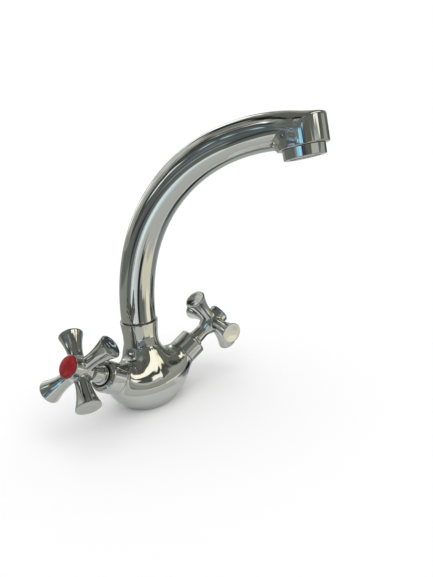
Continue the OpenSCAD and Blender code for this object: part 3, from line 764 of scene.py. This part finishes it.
def spun_faces(index):
    """Faces between each ring and the next. A corner on the axis counts once."""
    beside = np.roll(index, -1, axis=1)
    faces = np.stack([index[:-1], beside[:-1], beside[1:], index[1:]], axis=-1).reshape(-1, 4)
    return [[v for n, v in enumerate(face) if v != face[n - 1]] for face in faces.tolist()]


def turned(name, profile, place, body, closed=True):
    """A profile spun about z and then moved by its rotation and centre."""
    vertices, normals, index = spun_vertices(*round_corners(profile, closed))
    faces = spun_faces(np.vstack([index, index[:1]]) if closed else index)
    rotation, centre = place
    return add_mesh(name, vertices @ rotation.T + centre, faces, normals @ rotation.T, body)


print("Each ring has", SPIN_SIDES, "sides")

# %% [markdown]
# The sleeve hides the valve. Its shoulder is broad and soft, and its mouth holds a black ring that
# steadies the skirt of the handle. The thin line where sleeve and arm meet is real: two rounded
# edges that touch.

# %% Sleeves and mouth rings
SLEEVE_GAP = 0.1
SLEEVE_WALL = 1.9
SLEEVE_FOOT = ARM_LENGTH + SLEEVE_GAP
SHOULDER_IN = 2.2
SHOULDER_H = 1.2
MOUTH_R = 8.2
MOUTH_DEPTH = 2.6
MOUTH_FLOOR = SLEEVE_TOP - MOUTH_DEPTH
RING_INNER_R = SKIRT_R + 0.15
RING_OUTER_R = MOUTH_R - 0.05
RING_TOP = SLEEVE_TOP - 0.5

sleeve_profile = [
    (ARM_R - SLEEVE_WALL, SLEEVE_FOOT, 0.2), (ARM_R, SLEEVE_FOOT, 0.3),
    (ARM_R, SLEEVE_TOP - SHOULDER_H, 4.0), (ARM_R - SHOULDER_IN, SLEEVE_TOP, 1.6),
    (MOUTH_R, SLEEVE_TOP, 0.5), (MOUTH_R, MOUTH_FLOOR, 0.2), (ARM_R - SLEEVE_WALL, MOUTH_FLOOR, 0.2),
]
ring_profile = [
    (RING_INNER_R, MOUTH_FLOOR, 0.1), (RING_OUTER_R, MOUTH_FLOOR, 0.1),
    (RING_OUTER_R, RING_TOP, 0.2), (RING_INNER_R, RING_TOP, 0.2),
]
sleeves, rings = [], []
for side in SIDES:
    sleeve = turned(side + "_shroud", sleeve_profile, arm_place(side, 0), "root")
    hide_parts(side + "_sleeve")
    sleeves.append(sleeve)
    ring = turned(side + "_black_ring", ring_profile, arm_place(side, 0), "root")
    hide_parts(side + "_mouth_ring")
    rings.append(ring)

# %% [markdown]
# The button is a moulded cap that almost covers the front of the hub. It is a little domed, so its
# outline is a quarter of an oval, and its colour says which water the handle turns on.

# %% Buttons
BUTTON_R = 7.75
BUTTON_STEM_R = 6.9
BUTTON_STEM = 2.2
BUTTON_SEAT = HUB_FRONT + 0.02
BUTTON_RIM = HUB_FRONT + 0.5
BUTTON_CROWN = 1.5
CROWN_POINTS = 14

crown = [
    (BUTTON_R * math.cos(t), BUTTON_RIM + BUTTON_CROWN * math.sin(t), 0.2)
    for t in np.linspace(0.08, math.pi / 2 - 0.12, CROWN_POINTS)
]
button_profile = [
    (0, HUB_FRONT - BUTTON_STEM, 0), (BUTTON_STEM_R, HUB_FRONT - BUTTON_STEM, 0.2),
    (BUTTON_STEM_R, BUTTON_SEAT, 0.05), (BUTTON_R, BUTTON_SEAT, 0.1),
    *crown, (0, BUTTON_RIM + BUTTON_CROWN, 0),
]
buttons = []
for side in SIDES:
    place = arm_place(side, GRIP_S)
    button = turned(side + "_cap", button_profile, place, side + "_handle", closed=False)
    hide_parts(side + "_index_button")
    buttons.append(button)

# %% [markdown]
# The aerator ring screws into the outlet head. A hair of a gap separates them, and its lower rim is
# rounded where the water leaves.

# %% Aerator ring
AERATOR_H = 6.1
RIM = -HEAD_DROP - AERATOR_H
RIM_LEDGE = RIM + 1
RING_GAP = 0.12
RING_TAPER = 0.1
RING_THREAD_TOP = -HEAD_DROP + 5.7
RING_THREAD_R = 11.45
RING_BORE_R = 10.15
LEDGE_R = 9.15

outlet_place = (swing @ turn("x", -OUTLET_TILT), swing @ np.array([0, -OUTLET[0], OUTLET[1]]))
aerator_profile = [
    (RING_BORE_R, RIM_LEDGE, 0.2), (LEDGE_R, RIM_LEDGE, 0.2), (LEDGE_R, RIM, 0.3),
    (AERATOR_R - RING_TAPER, RIM, 0.6), (AERATOR_R, -HEAD_DROP - RING_GAP, 0.25),
    (RING_THREAD_R, -HEAD_DROP - RING_GAP, 0.1), (RING_THREAD_R, RING_THREAD_TOP, 0.2),
    (RING_BORE_R, RING_THREAD_TOP, 0.2),
]
aerator = turned("aerator_ring", aerator_profile, outlet_place, "spout")
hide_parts("aerator_housing")

# %% [markdown]
# Next come the finishes. Chrome plate copies what lies under it, so a polished casting keeps a
# faint waviness from the buffing wheel, and fingers and dried water leave patches that are a touch
# duller. Both effects are useful on brass and steel too, so they go into one group of nodes with a
# height for the waviness and a roughness for the patches.

# %% A group for buffed metal
def add_node(tree, kind, **values):
    """A node with some inputs set. An underscore in a name stands for a space."""
    node = tree.nodes.new(kind)
    for name, value in values.items():
        node.inputs[name.replace("_", " ")].default_value = value
    return node


def add_noise(tree, **values):
    """A noise texture in the coordinates of the piece itself, so that it stays on when a joint moves."""
    noise = add_node(tree, "ShaderNodeTexNoise", **values)
    place = add_node(tree, "ShaderNodeTexCoord")
    tree.links.new(place.outputs["Object"], noise.inputs["Vector"])
    return noise


def new_group(name, inputs, outputs):
    """A node group with its sockets. Inputs are (name, kind, value), outputs are (name, kind)."""
    tree = bpy.data.node_groups.new(name, "ShaderNodeTree")
    for title, kind, value in inputs:
        made = tree.interface.new_socket(name=title, in_out="INPUT", socket_type="NodeSocket" + kind)
        made.default_value = value
    for title, kind in outputs:
        tree.interface.new_socket(name=title, in_out="OUTPUT", socket_type="NodeSocket" + kind)
    return tree, tree.nodes.new("NodeGroupInput").outputs, tree.nodes.new("NodeGroupOutput").inputs


def buffed_metal_group():
    settings = [
        ("Wave Size", "Float", 60.0), ("Clean Roughness", "Float", 0.03),
        ("Smudge Roughness", "Float", 0.09),
    ]
    tree, given, result = new_group("buffed_metal", settings, [("Roughness", "Float"), ("Height", "Float")])
    link = tree.links.new
    waves = add_noise(tree, Detail=1.5)
    link(given["Wave Size"], waves.inputs["Scale"])
    smudge = add_noise(tree, Scale=45.0, Detail=6.0)
    spread = add_node(tree, "ShaderNodeMapRange", From_Min=0.48, From_Max=0.72)
    link(smudge.outputs["Fac"], spread.inputs["Value"])
    link(given["Clean Roughness"], spread.inputs["To Min"])
    link(given["Smudge Roughness"], spread.inputs["To Max"])
    link(spread.outputs["Result"], result["Roughness"])
    link(waves.outputs["Fac"], result["Height"])
    return tree


buffed_metal = buffed_metal_group()
print(buffed_metal.name, "has", len(buffed_metal.nodes), "nodes")

# %% [markdown]
# Rubber, plastic and the ceramic discs of the valves come out of a mould. They are never one even
# colour: a soft cloud of a second shade runs through them, the gloss varies with it, and the skin of
# the mould leaves a fine grain.

# %% A group for moulded surfaces
def moulded_group():
    settings = [
        ("Base", "Color", (0.5, 0.5, 0.5, 1)), ("Shade", "Color", (0.4, 0.4, 0.4, 1)),
        ("Roughness", "Float", 0.4),
    ]
    effects = [("Color", "Color"), ("Roughness", "Float"), ("Height", "Float")]
    tree, given, result = new_group("moulded_skin", settings, effects)
    link = tree.links.new
    cloud = add_noise(tree, Scale=220.0, Detail=4.0)
    grain = add_noise(tree, Scale=1800.0)
    mix = add_node(tree, "ShaderNodeMix")
    mix.data_type = "RGBA"
    link(cloud.outputs["Fac"], mix.inputs["Factor"])
    link(given["Base"], mix.inputs["A"])
    link(given["Shade"], mix.inputs["B"])
    link(mix.outputs["Result"], result["Color"])
    vary = add_node(tree, "ShaderNodeMath")
    vary.operation = "MULTIPLY_ADD"
    vary.inputs[1].default_value = 0.12
    link(cloud.outputs["Fac"], vary.inputs[0])
    link(given["Roughness"], vary.inputs[2])
    link(vary.outputs["Value"], result["Roughness"])
    link(grain.outputs["Fac"], result["Height"])
    return tree


moulded_skin = moulded_group()
print(moulded_skin.name, "has", len(moulded_skin.nodes), "nodes")

# %% [markdown]
# The materials place these groups and add what is their own. A number that is the same all over a
# surface is set on the shader itself.

# %% Metals
def new_material(name, group, bump_strength, bump_distance):
    """A material with the group placed in it. Gives the material, its shader and the group's node."""
    material = bpy.data.materials.new(name)
    material.use_nodes = True
    tree = material.node_tree
    shader = tree.nodes["Principled BSDF"]
    effect = tree.nodes.new("ShaderNodeGroup")
    effect.node_tree = group
    bump = add_node(tree, "ShaderNodeBump", Strength=bump_strength, Distance=bump_distance)
    tree.links.new(effect.outputs["Height"], bump.inputs["Height"])
    tree.links.new(bump.outputs["Normal"], shader.inputs["Normal"])
    tree.links.new(effect.outputs["Roughness"], shader.inputs["Roughness"])
    return material, shader.inputs, effect


def metal(name, color, wave_size, clean, smudge, wave_height):
    material, shader, effect = new_material(name, buffed_metal, 0.5, wave_height)
    shader["Base Color"].default_value = (*color, 1)
    shader["Metallic"].default_value = 1.0
    effect.inputs["Wave Size"].default_value = wave_size
    effect.inputs["Clean Roughness"].default_value = clean
    effect.inputs["Smudge Roughness"].default_value = smudge
    print(name, "is ready")
    return material


CHROME_COLOR = (0.525, 0.532, 0.512)
chrome = metal("chrome_plate", CHROME_COLOR, wave_size=60.0, clean=0.03, smudge=0.07, wave_height=0.0001)
brass = metal("turned_brass", (0.78, 0.58, 0.27), 300.0, 0.22, 0.34, 0.00003)
steel = metal("stainless_steel", (0.55, 0.55, 0.54), 400.0, 0.2, 0.32, 0.00002)

# %% [markdown]
# The moulded materials get two colours, one for the clouds in the other. The buttons also have a
# thin clear coat, as glossy plastic caps do.

# %% Rubber, plastic and ceramic
GRAIN_STRENGTH = 0.4
GRAIN_HEIGHT = 0.00002
COAT_ROUGHNESS = 0.05


def moulded(name, color, shade, roughness, coat=0.0):
    material, shader, effect = new_material(name, moulded_skin, GRAIN_STRENGTH, GRAIN_HEIGHT)
    effect.inputs["Base"].default_value = (*color, 1)
    effect.inputs["Shade"].default_value = (*shade, 1)
    effect.inputs["Roughness"].default_value = roughness
    shader["Coat Weight"].default_value = coat
    shader["Coat Roughness"].default_value = COAT_ROUGHNESS
    material.node_tree.links.new(effect.outputs["Color"], shader["Base Color"])
    print(name, "is ready")
    return material


rubber = moulded("black_rubber", (0.025, 0.025, 0.025), (0.04, 0.04, 0.04), 0.55)
black_plastic = moulded("black_ring_plastic", (0.008, 0.008, 0.009), (0.014, 0.014, 0.014), 0.35)
white_plastic = moulded("white_acetal", (0.8, 0.8, 0.77), (0.72, 0.72, 0.69), 0.4)
ceramic = moulded("valve_ceramic", (0.85, 0.83, 0.78), (0.8, 0.78, 0.73), 0.2)
red_cap = moulded("red_cap_plastic", (0.27, 0.002, 0.006), (0.2, 0.002, 0.005), 0.22, coat=0.15)
blue_cap = moulded("blue_cap_plastic", (0.01, 0.06, 0.33), (0.008, 0.045, 0.26), 0.22, coat=0.4)

# %% [markdown]
# Each CAD part keeps its place and its shape, and only gets its finish, by the slot that the record
# names for it. The smooth pieces made above get theirs one by one.

# %% Finishes on the pieces
finish_of_slot = {
    "chrome": chrome, "brass": brass, "steel": steel, "rubber": rubber, "black_plastic": black_plastic,
    "white_plastic": white_plastic, "disc_white": ceramic, "red_plastic": red_cap, "blue_plastic": blue_cap,
}
for part in frame["record"]["subparts"]:
    nodes[part["node"]].material_slots[0].material = finish_of_slot[part["material_slot"]]
for piece in (body, spout, aerator, *handles, *sleeves):
    piece.data.materials.append(chrome)
for ring in rings:
    ring.data.materials.append(black_plastic)
for button, cap in zip(buttons, (red_cap, blue_cap)):
    button.data.materials.append(cap)

# %% [markdown]
# Then the studio. The floor is a plain pale sheet that runs on until it meets the white beyond it.
# The tap stands on it under a wide soft light, which leaves only a faint shadow round the foot. The
# light itself doesn't show in the chrome.

# %% Floor and light
FLOOR_REACH = 40


def stage_mesh(name, vertices, faces, material):
    mesh = bpy.data.meshes.new(name)
    mesh.from_pydata(vertices, [], faces)
    mesh.update()
    mesh.materials.append(material)
    piece = add_object(name, mesh)
    return piece


paper = bpy.data.materials.new("studio_paper")
paper.use_nodes = True
paper_shader = paper.node_tree.nodes["Principled BSDF"]
paper_shader.inputs["Base Color"].default_value = (0.98, 0.98, 0.98, 1)
paper_shader.inputs["Roughness"].default_value = 0.95
paper_shader.inputs["Specular IOR Level"].default_value = 0.0
corners = [(x * FLOOR_REACH, y * FLOOR_REACH, 0) for x, y in ((-1, -1), (1, -1), (1, 1), (-1, 1))]
floor = stage_mesh("studio_floor", corners, [(0, 1, 2, 3)], paper)

daylight = bpy.data.lights.new("soft_daylight", "SUN")
daylight.energy = 1.15
daylight.angle = math.radians(70)
sun = add_object("soft_daylight", daylight)
sun.rotation_euler = (math.radians(24), math.radians(-14), 0)
sun.visible_glossy = False
print(floor.name, "is", 2 * FLOOR_REACH, "m wide")

# %% [markdown]
# The air round the tap is white, but it lights the tap a little less than it shows. Light Path tells
# the two apart: rays from the camera, and rays that a mirror or a glass sends on, see plain white.

# %% The white air
AIR_LIGHT = 0.72
WHITE = (1, 1, 1, 1)

world = bpy.data.worlds.new("studio_air")
bpy.context.scene.world = world
world.use_nodes = True
air = world.node_tree
air.nodes.clear()
path = add_node(air, "ShaderNodeLightPath")
seen = path.outputs["Is Camera Ray"]
for kind in ("Is Glossy Ray", "Is Transmission Ray"):
    either = add_node(air, "ShaderNodeMath")
    either.operation = "MAXIMUM"
    air.links.new(seen, either.inputs[0])
    air.links.new(path.outputs[kind], either.inputs[1])
    seen = either.outputs["Value"]
fill = add_node(air, "ShaderNodeBackground", Color=WHITE, Strength=AIR_LIGHT)
white = add_node(air, "ShaderNodeBackground", Color=WHITE, Strength=1.0)
blend = add_node(air, "ShaderNodeMixShader")
out = add_node(air, "ShaderNodeOutputWorld")
air.links.new(seen, blend.inputs["Fac"])
air.links.new(fill.outputs["Background"], blend.inputs[1])
air.links.new(white.outputs["Background"], blend.inputs[2])
air.links.new(blend.outputs["Shader"], out.inputs["Surface"])
bpy.context.scene.view_settings.view_transform = "Standard"
print("The air lights the tap at", AIR_LIGHT, "of the white that it shows")

# %% [markdown]
# Chrome in an all-white room would be a white ghost. The photo was taken in a real room, whose walls
# and window wrap round the curves as dark bands and bright lines. So a plain room is painted
# round the tap: soft-edged patches on a dome for what stands upright, and on a flat ring over the
# floor for what lies down. Only reflections see the two, so the light and the shadow stay as they
# were.
#
# The glowing patches on the walls come first, painted light and painted shade as the chrome mirrors
# them. A row says where a patch begins and ends in degrees round the tap, with 0 behind the camera and
# growing to its right. Then come its lowest and highest place in degrees above the floor, how soft its
# sides and its foot and top are, its colour, and how much it covers.

# %% Patches on the walls
# The base glow and the patches are painted light and painted shade that only the chrome mirrors.
WALL_REFLECTION_TONE = "5e625f"
WALL_REFLECTIONS = [
    (-181, 181, 62, 95, 1, 10, "5a5b56", 1),
    (-181, -60, -5, 45, 10, 10, "8a8b85", 1),
    (-181, -60, 42, 60, 8, 6, "74766f", 1),
    (-152, -112, 10, 46, 9, 9, "b2b5b0", 0.95),
    (-182, -157, 22, 46, 6, 6, "f2f2f0", 0.95),
    (-150, -134, 5, 18, 6, 5, "f0f0ee", 0.9),
    (-159, -146, 33, 50, 5, 6, "1e2022", 0.9),
    (-151, -130, 45, 59, 6, 5, "1c1e20", 0.95),
    (-138, -60, 57, 67, 6, 4, "1c1e20", 1),
    (-94, -62, -5, 40, 5, 5, "3c3d3b", 0.95),
    (-77, -59, 2, 31, 4, 5, "545d60", 0.8),
    (-71, -66, 17, 21, 2, 2, "a8c0ca", 0.9),
    (-81, -75, 8, 18, 2, 3, "f4f4f0", 1),
    (-98, -66, 44, 55, 5, 4, "94968f", 0.85),
    (-42, -12, 45, 58, 6, 5, "8a979c", 0.7),
    (-57, -46, -5, 9, 3, 3, "6f7a80", 1),
    (-49, -24, -3, 12, 5, 3, "93cce9", 1),
    (-52, -6, -6, 1, 5, 2, "93cce9", 0.8),
    (-22, 4, 2, 14, 4, 4, "3c404c", 1),
    (-20, -10, 12, 22, 3, 3, "9fb8c4", 0.7),
    (0, 26, -5, 18, 5, 4, "5c5a52", 1),
    (24, 112, -5, 13, 6, 3, "8a8b84", 1),
    (25, 101, 11.5, 17, 6, 2, "a6a8a2", 1),
    (104, 181, 16, 60, 8, 8, "5f615b", 0.9),
    (152, 181, 5, 50, 6, 8, "8f908b", 0.6),
    (103, 119, 6.5, 11.5, 4, 2, "38435a", 0.85),
    (118, 153, 1, 9, 5, 3, "3a4560", 0.9),
    (-12, 128, 49, 64, 8, 6, "55504a", 0.9),
    (6, 34, 32, 50, 5, 5, "5c584e", 0.9),
    (88, 112, 7, 19, 5, 4, "94958d", 1),
    (34, 53, 37, 52, 3, 2, "fffbe8", 1),
    (48, 73, 32.5, 49, 3, 2, "fffbe8", 1),
    (68, 97, 28, 45, 3, 2, "fbf4dc", 1),
    (42, 54, 30, 36, 2, 2, "3c3d38", 0.95),
    (52, 68, 27.5, 33, 2, 2, "3c3d38", 0.95),
    (66, 98, 22, 28, 3, 2, "454640", 0.95),
    (43, 48, 17, 32, 2, 2, "4a4b46", 0.9),
    (48, 69, 18, 27, 2, 2, "f5f2ea", 1),
    (69, 89, 13.5, 21.5, 3, 2, "50514c", 0.9),
    (128, 153, 3, 27, 5, 4, "2f363c", 0.95),
    (133, 136, 12, 26, 1, 4, "c8d0d4", 0.9),
    (142, 147, 6, 14, 2, 3, "9a9e9c", 0.9),
    (148, 152, 14, 24, 2, 4, "8c9498", 0.8),
    (-98, -85, 37, 46, 3, 3, "43302a", 0.9),
    (-81, -72, 39, 46, 2, 2, "f6f7f8", 1),
]
print(len(WALL_REFLECTIONS), "patches on the walls")

# %% [markdown]
# The painted light and painted shade on the floor, as the chrome mirrors them, are listed the same
# way, with the distance from the tap in millimetres in place of the height: a pale rug of light under
# the window, the dark gaps beside it, painted shadow round the cold handle, and the cyan glints that
# run along the spout.

# %% Patches on the floor
FLOOR_REFLECTIONS = [
    # These patches are painted light and painted shade that only the chrome mirrors. The first, a grey wash
    # at half cover, darkens the mirrored floor near the tap.
    (-40, 84, 40, 205, 12, 30, "898a84", 0.5),
    (-181, -44, 95, 9000, 5, 25, "7f8179", 1),
    (-118, -56, 520, 9000, 8, 160, "595d5b", 0.9),
    (-62, -34, 240, 9000, 5, 40, "5c605e", 1),
    (-58, -46, 410, 640, 4, 60, "2e3434", 0.95),
    (-64, -44, 640, 9000, 6, 60, "4e5459", 0.95),
    (-54, -48, 620, 1100, 3, 60, "8d918c", 0.8),
    (-29, -20, 208, 250, 4, 14, "d2eef4", 0.85),
    (-23, -14, 180, 222, 4, 12, "cfeaf0", 0.85),
    (-16, -8, 158, 196, 4, 12, "b4c4c6", 0.8),
    (7, 23, 150, 238, 4, 14, "1f292e", 1),
    (27, 98, 138, 176, 8, 10, "ccc7b3", 0.9),
    (22, 56, 180, 240, 5, 8, "50554f", 0.9),
    (54, 68, 180, 240, 5, 8, "7a7a70", 0.8),
    (66, 96, 176, 246, 6, 10, "e0dbc6", 1),
    (24, 126, 242, 9000, 6, 16, "8a8b83", 1),
    # Painted shadow on the floor round the cold handle, as the chrome mirrors it.
    (98, 146, 62, 236, 8, 14, "62666a", 0.85),
    (122, 150, 236, 9000, 6, 14, "62666a", 0.85),
    (93, 106, 89, 128, 4, 8, "3a3e3c", 0.8),
    (104, 124, 118, 148, 4, 12, "343a3a", 0.75),
    (104, 119, 86, 126, 4, 10, "101214", 1),
    (130, 144, 120, 190, 5, 12, "a0a8a8", 0.7),
    (146, 181, 110, 9000, 6, 30, "8f9590", 1),
    (22, 66, 242, 9000, 5, 14, "8a8b84", 1),
    (-30, 22, 260, 9000, 5, 20, "6a7074", 1),
]
print(len(FLOOR_REFLECTIONS), "patches on the floor")

# %% [markdown]
# Painting lays one patch after another over the base colour. A colour is written as it should show
# in the chrome, so it is first turned into light and divided by what the chrome takes away. A slow
# wave then bends all borders a little, because nothing in a real room is quite straight.

# %% Laying the patches
CHROME_TONE = 0.55


def glow_of(code):
    """The light that chrome of the tone above shows as this colour."""
    shown = np.array([int(code[i:i + 2], 16) for i in (0, 2, 4)]) / 255
    shown = np.where(shown < 0.04045, shown / 12.92, ((shown + 0.055) / 1.055) ** 2.4)
    return shown / CHROME_TONE


def border(x, place, softness):
    return ease((x - place) / softness + 0.5)


def paint(patches, base, azimuth, height):
    """Colour and cover of each point, with the patches laid over the base one after another."""
    color = np.repeat(np.array(base, float)[None], len(azimuth), 0)
    for start, end, low, high, side, edge, code, strength in patches:
        share = strength * border(azimuth, start, side) * (1 - border(azimuth, end, side))
        share = (share * border(height, low, edge) * (1 - border(height, high, edge)))[:, None]
        color = color * (1 - share) + share * np.array([*glow_of(code), 1.0])
    return color


def wave(azimuth, height, across, up, start=0.0):
    return np.sin(azimuth * across + height * up + start)


def waver(azimuth, height, sideways, upwards):
    """Bends the straight borders a little."""
    sway = wave(azimuth, height, 0.07, 0.21) + 0.6 * wave(azimuth, height, -0.19, 0.53, 1.3)
    rise = wave(azimuth, height, 0.17, 0.11, 0.5) + 0.6 * wave(azimuth, height, 0.41, 0.23, 2.1)
    return azimuth + sideways * sway, height + upwards * rise


print("A wall patch glows at", glow_of(WALL_REFLECTION_TONE).round(3))

# %% [markdown]
# Both surfaces are rings of vertices, and the paint is stored at the vertices as a colour attribute.
# The material only shows that colour as light. The ring on the floor is clear where no patch is, so
# that the real floor with its shadow is seen in the chrome there.

# %% Surfaces that only reflections see
CAMERA_AZIMUTH = math.radians(42.01)
BACK = np.array([-math.sin(CAMERA_AZIMUTH), -math.cos(CAMERA_AZIMUTH)])
RIGHT = np.array([math.cos(CAMERA_AZIMUTH), -math.sin(CAMERA_AZIMUTH)])
RING_TURN = 0.75


def glow_material(name, see_through):
    material = bpy.data.materials.new(name)
    material.use_nodes = True
    tree = material.node_tree
    tree.nodes.clear()
    color = add_node(tree, "ShaderNodeAttribute")
    color.attribute_name = "paint"
    shine = add_node(tree, "ShaderNodeEmission")
    surface = add_node(tree, "ShaderNodeOutputMaterial").inputs["Surface"]
    tree.links.new(color.outputs["Color"], shine.inputs["Color"])
    if not see_through:
        tree.links.new(shine.outputs["Emission"], surface)
        return material
    clear = add_node(tree, "ShaderNodeBsdfTransparent")
    cover = add_node(tree, "ShaderNodeMixShader")
    tree.links.new(color.outputs["Alpha"], cover.inputs["Fac"])
    tree.links.new(clear.outputs["BSDF"], cover.inputs[1])
    tree.links.new(shine.outputs["Emission"], cover.inputs[2])
    tree.links.new(cover.outputs["Shader"], surface)
    return material


def painted(name, heights, place, color_at, see_through):
    """Rings of vertices at the given heights, painted by azimuth and height."""
    azimuths = np.arange(-180, 180, RING_TURN)
    azimuth = np.tile(azimuths, len(heights))
    height = np.repeat(heights, len(azimuths))
    spin = np.radians(azimuth)
    aim = np.cos(spin)[:, None] * BACK + np.sin(spin)[:, None] * RIGHT
    radius, level = place(height)
    vertices = np.column_stack([aim * radius[:, None], level])
    faces = spun_faces(np.arange(len(vertices)).reshape(len(heights), -1))
    piece = stage_mesh(name, vertices.tolist(), faces, glow_material(name, see_through))
    layer = piece.data.color_attributes.new("paint", "FLOAT_COLOR", "POINT")
    layer.data.foreach_set("color", color_at(azimuth, height).ravel())
    piece.visible_camera = False
    piece.visible_diffuse = False
    piece.visible_shadow = False
    piece.visible_transmission = False
    print(name, "has", len(vertices), "painted points")


print("A painted ring has", int(360 / RING_TURN), "vertices")

# %% [markdown]
# The dome is 4 m away. An uneven check of lighter and darker spots, painted reflections of shelves
# and small things on the walls, gives the chrome its liveliness. It is left out on the side that the
# body mirrors, which is calm in the photo, and overhead, where it would gather into a star.

# %% The painted walls
DOME_R = 4.0
DOME_FOOT = -3.0
SPOT_REFLECTION_DEPTH = 0.34


def dome_place(height):
    return DOME_R * np.cos(np.radians(height)), DOME_R * np.sin(np.radians(height))


def spot_reflections(azimuth, height):
    columns = np.sin(azimuth * 0.62 + 2.1 * np.sin(height * 0.19))
    rows = np.sin(height * 0.7 + 1.9 * np.sin(azimuth * 0.27))
    return columns * rows + 0.6 * wave(azimuth, height, 1.7, 0.5) * wave(azimuth, height, -0.6, 1.3)


def dome_color(azimuth, height):
    color = paint(WALL_REFLECTIONS, (*glow_of(WALL_REFLECTION_TONE), 1), *waver(azimuth, height, 1.6, 1.2))
    calm = border(azimuth, 8, 20) * (1 - border(azimuth, 118, 12)) * (1 - border(height, 56, 8))
    overhead = border(height, 66, 16)
    # Painted reflection spots: the glow is made lighter and darker in an uneven check.
    color[:, :3] *= (1 + SPOT_REFLECTION_DEPTH * spot_reflections(azimuth, height) * (1 - calm) * (1 - overhead))[:, None]
    return color


# The dome glows with painted reflections of the room's light and shade.
painted("painted_reflection_dome", np.arange(DOME_FOOT, 90.1, RING_TURN), dome_place, dome_color, False)

# %% [markdown]
# The ring on the floor lies a hair above it, or the two would flicker through each other. Its rings
# stand closer together near the tap, where the chrome sees them best.

# %% The painted floor
RING_LIFT = 0.0004
RING_START = 55
RING_END = 3990
RING_COUNT = 220


def ring_place(distance):
    return distance * MM, np.full(len(distance), RING_LIFT)


def ring_color(azimuth, distance):
    azimuth, tenth = waver(azimuth, distance / 10, 1.2, 0.6)
    color = paint(FLOOR_REFLECTIONS, (0, 0, 0, 0), azimuth, tenth * 10)
    # The cover is kept apart from the colour
    color[:, :3] /= np.maximum(color[:, 3:], 1e-4)
    return color


# The ring glows with painted light and painted shade where its patches are.
painted("painted_reflection_ring", np.geomspace(RING_START, RING_END, RING_COUNT), ring_place, ring_color, True)

# %% [markdown]
# The camera stands where the photo was taken from. Its place, its tilt and its focal length come
# from the outline of the tap: the round seams show as ovals, and their shapes say from which side
# and how near they were seen. The focal length is known in pixels, and the height of the sensor
# turns it into millimetres.

# %% Camera
CAMERA_PLACE = Vector((-0.1730, -0.28759, 0.18195))
CAMERA_PITCH = math.radians(15.46)
CAMERA_ROLL = math.radians(-3.6)
FOCAL_PIXELS = 432.28
PHOTO_HEIGHT = 577
SENSOR_HEIGHT = 24.0

lens = bpy.data.cameras.new("photo_camera")
lens.sensor_fit = "VERTICAL"
lens.sensor_height = SENSOR_HEIGHT
lens.lens = SENSOR_HEIGHT * FOCAL_PIXELS / PHOTO_HEIGHT
lens.clip_start = 0.01
camera = add_object("photo_camera", lens)
level = Vector((*RIGHT, 0))
forward = math.cos(CAMERA_PITCH) * Vector((*-BACK, 0)) - math.sin(CAMERA_PITCH) * Vector((0, 0, 1))
upward = level.cross(forward)
right = math.cos(CAMERA_ROLL) * level + math.sin(CAMERA_ROLL) * upward
up = math.cos(CAMERA_ROLL) * upward - math.sin(CAMERA_ROLL) * level
camera.matrix_world = Matrix.LocRotScale(CAMERA_PLACE, Matrix((right, up, -forward)).transposed(), None)
bpy.context.scene.camera = camera
print("The lens is", round(lens.lens, 2), "mm on a sensor", SENSOR_HEIGHT, "mm high")
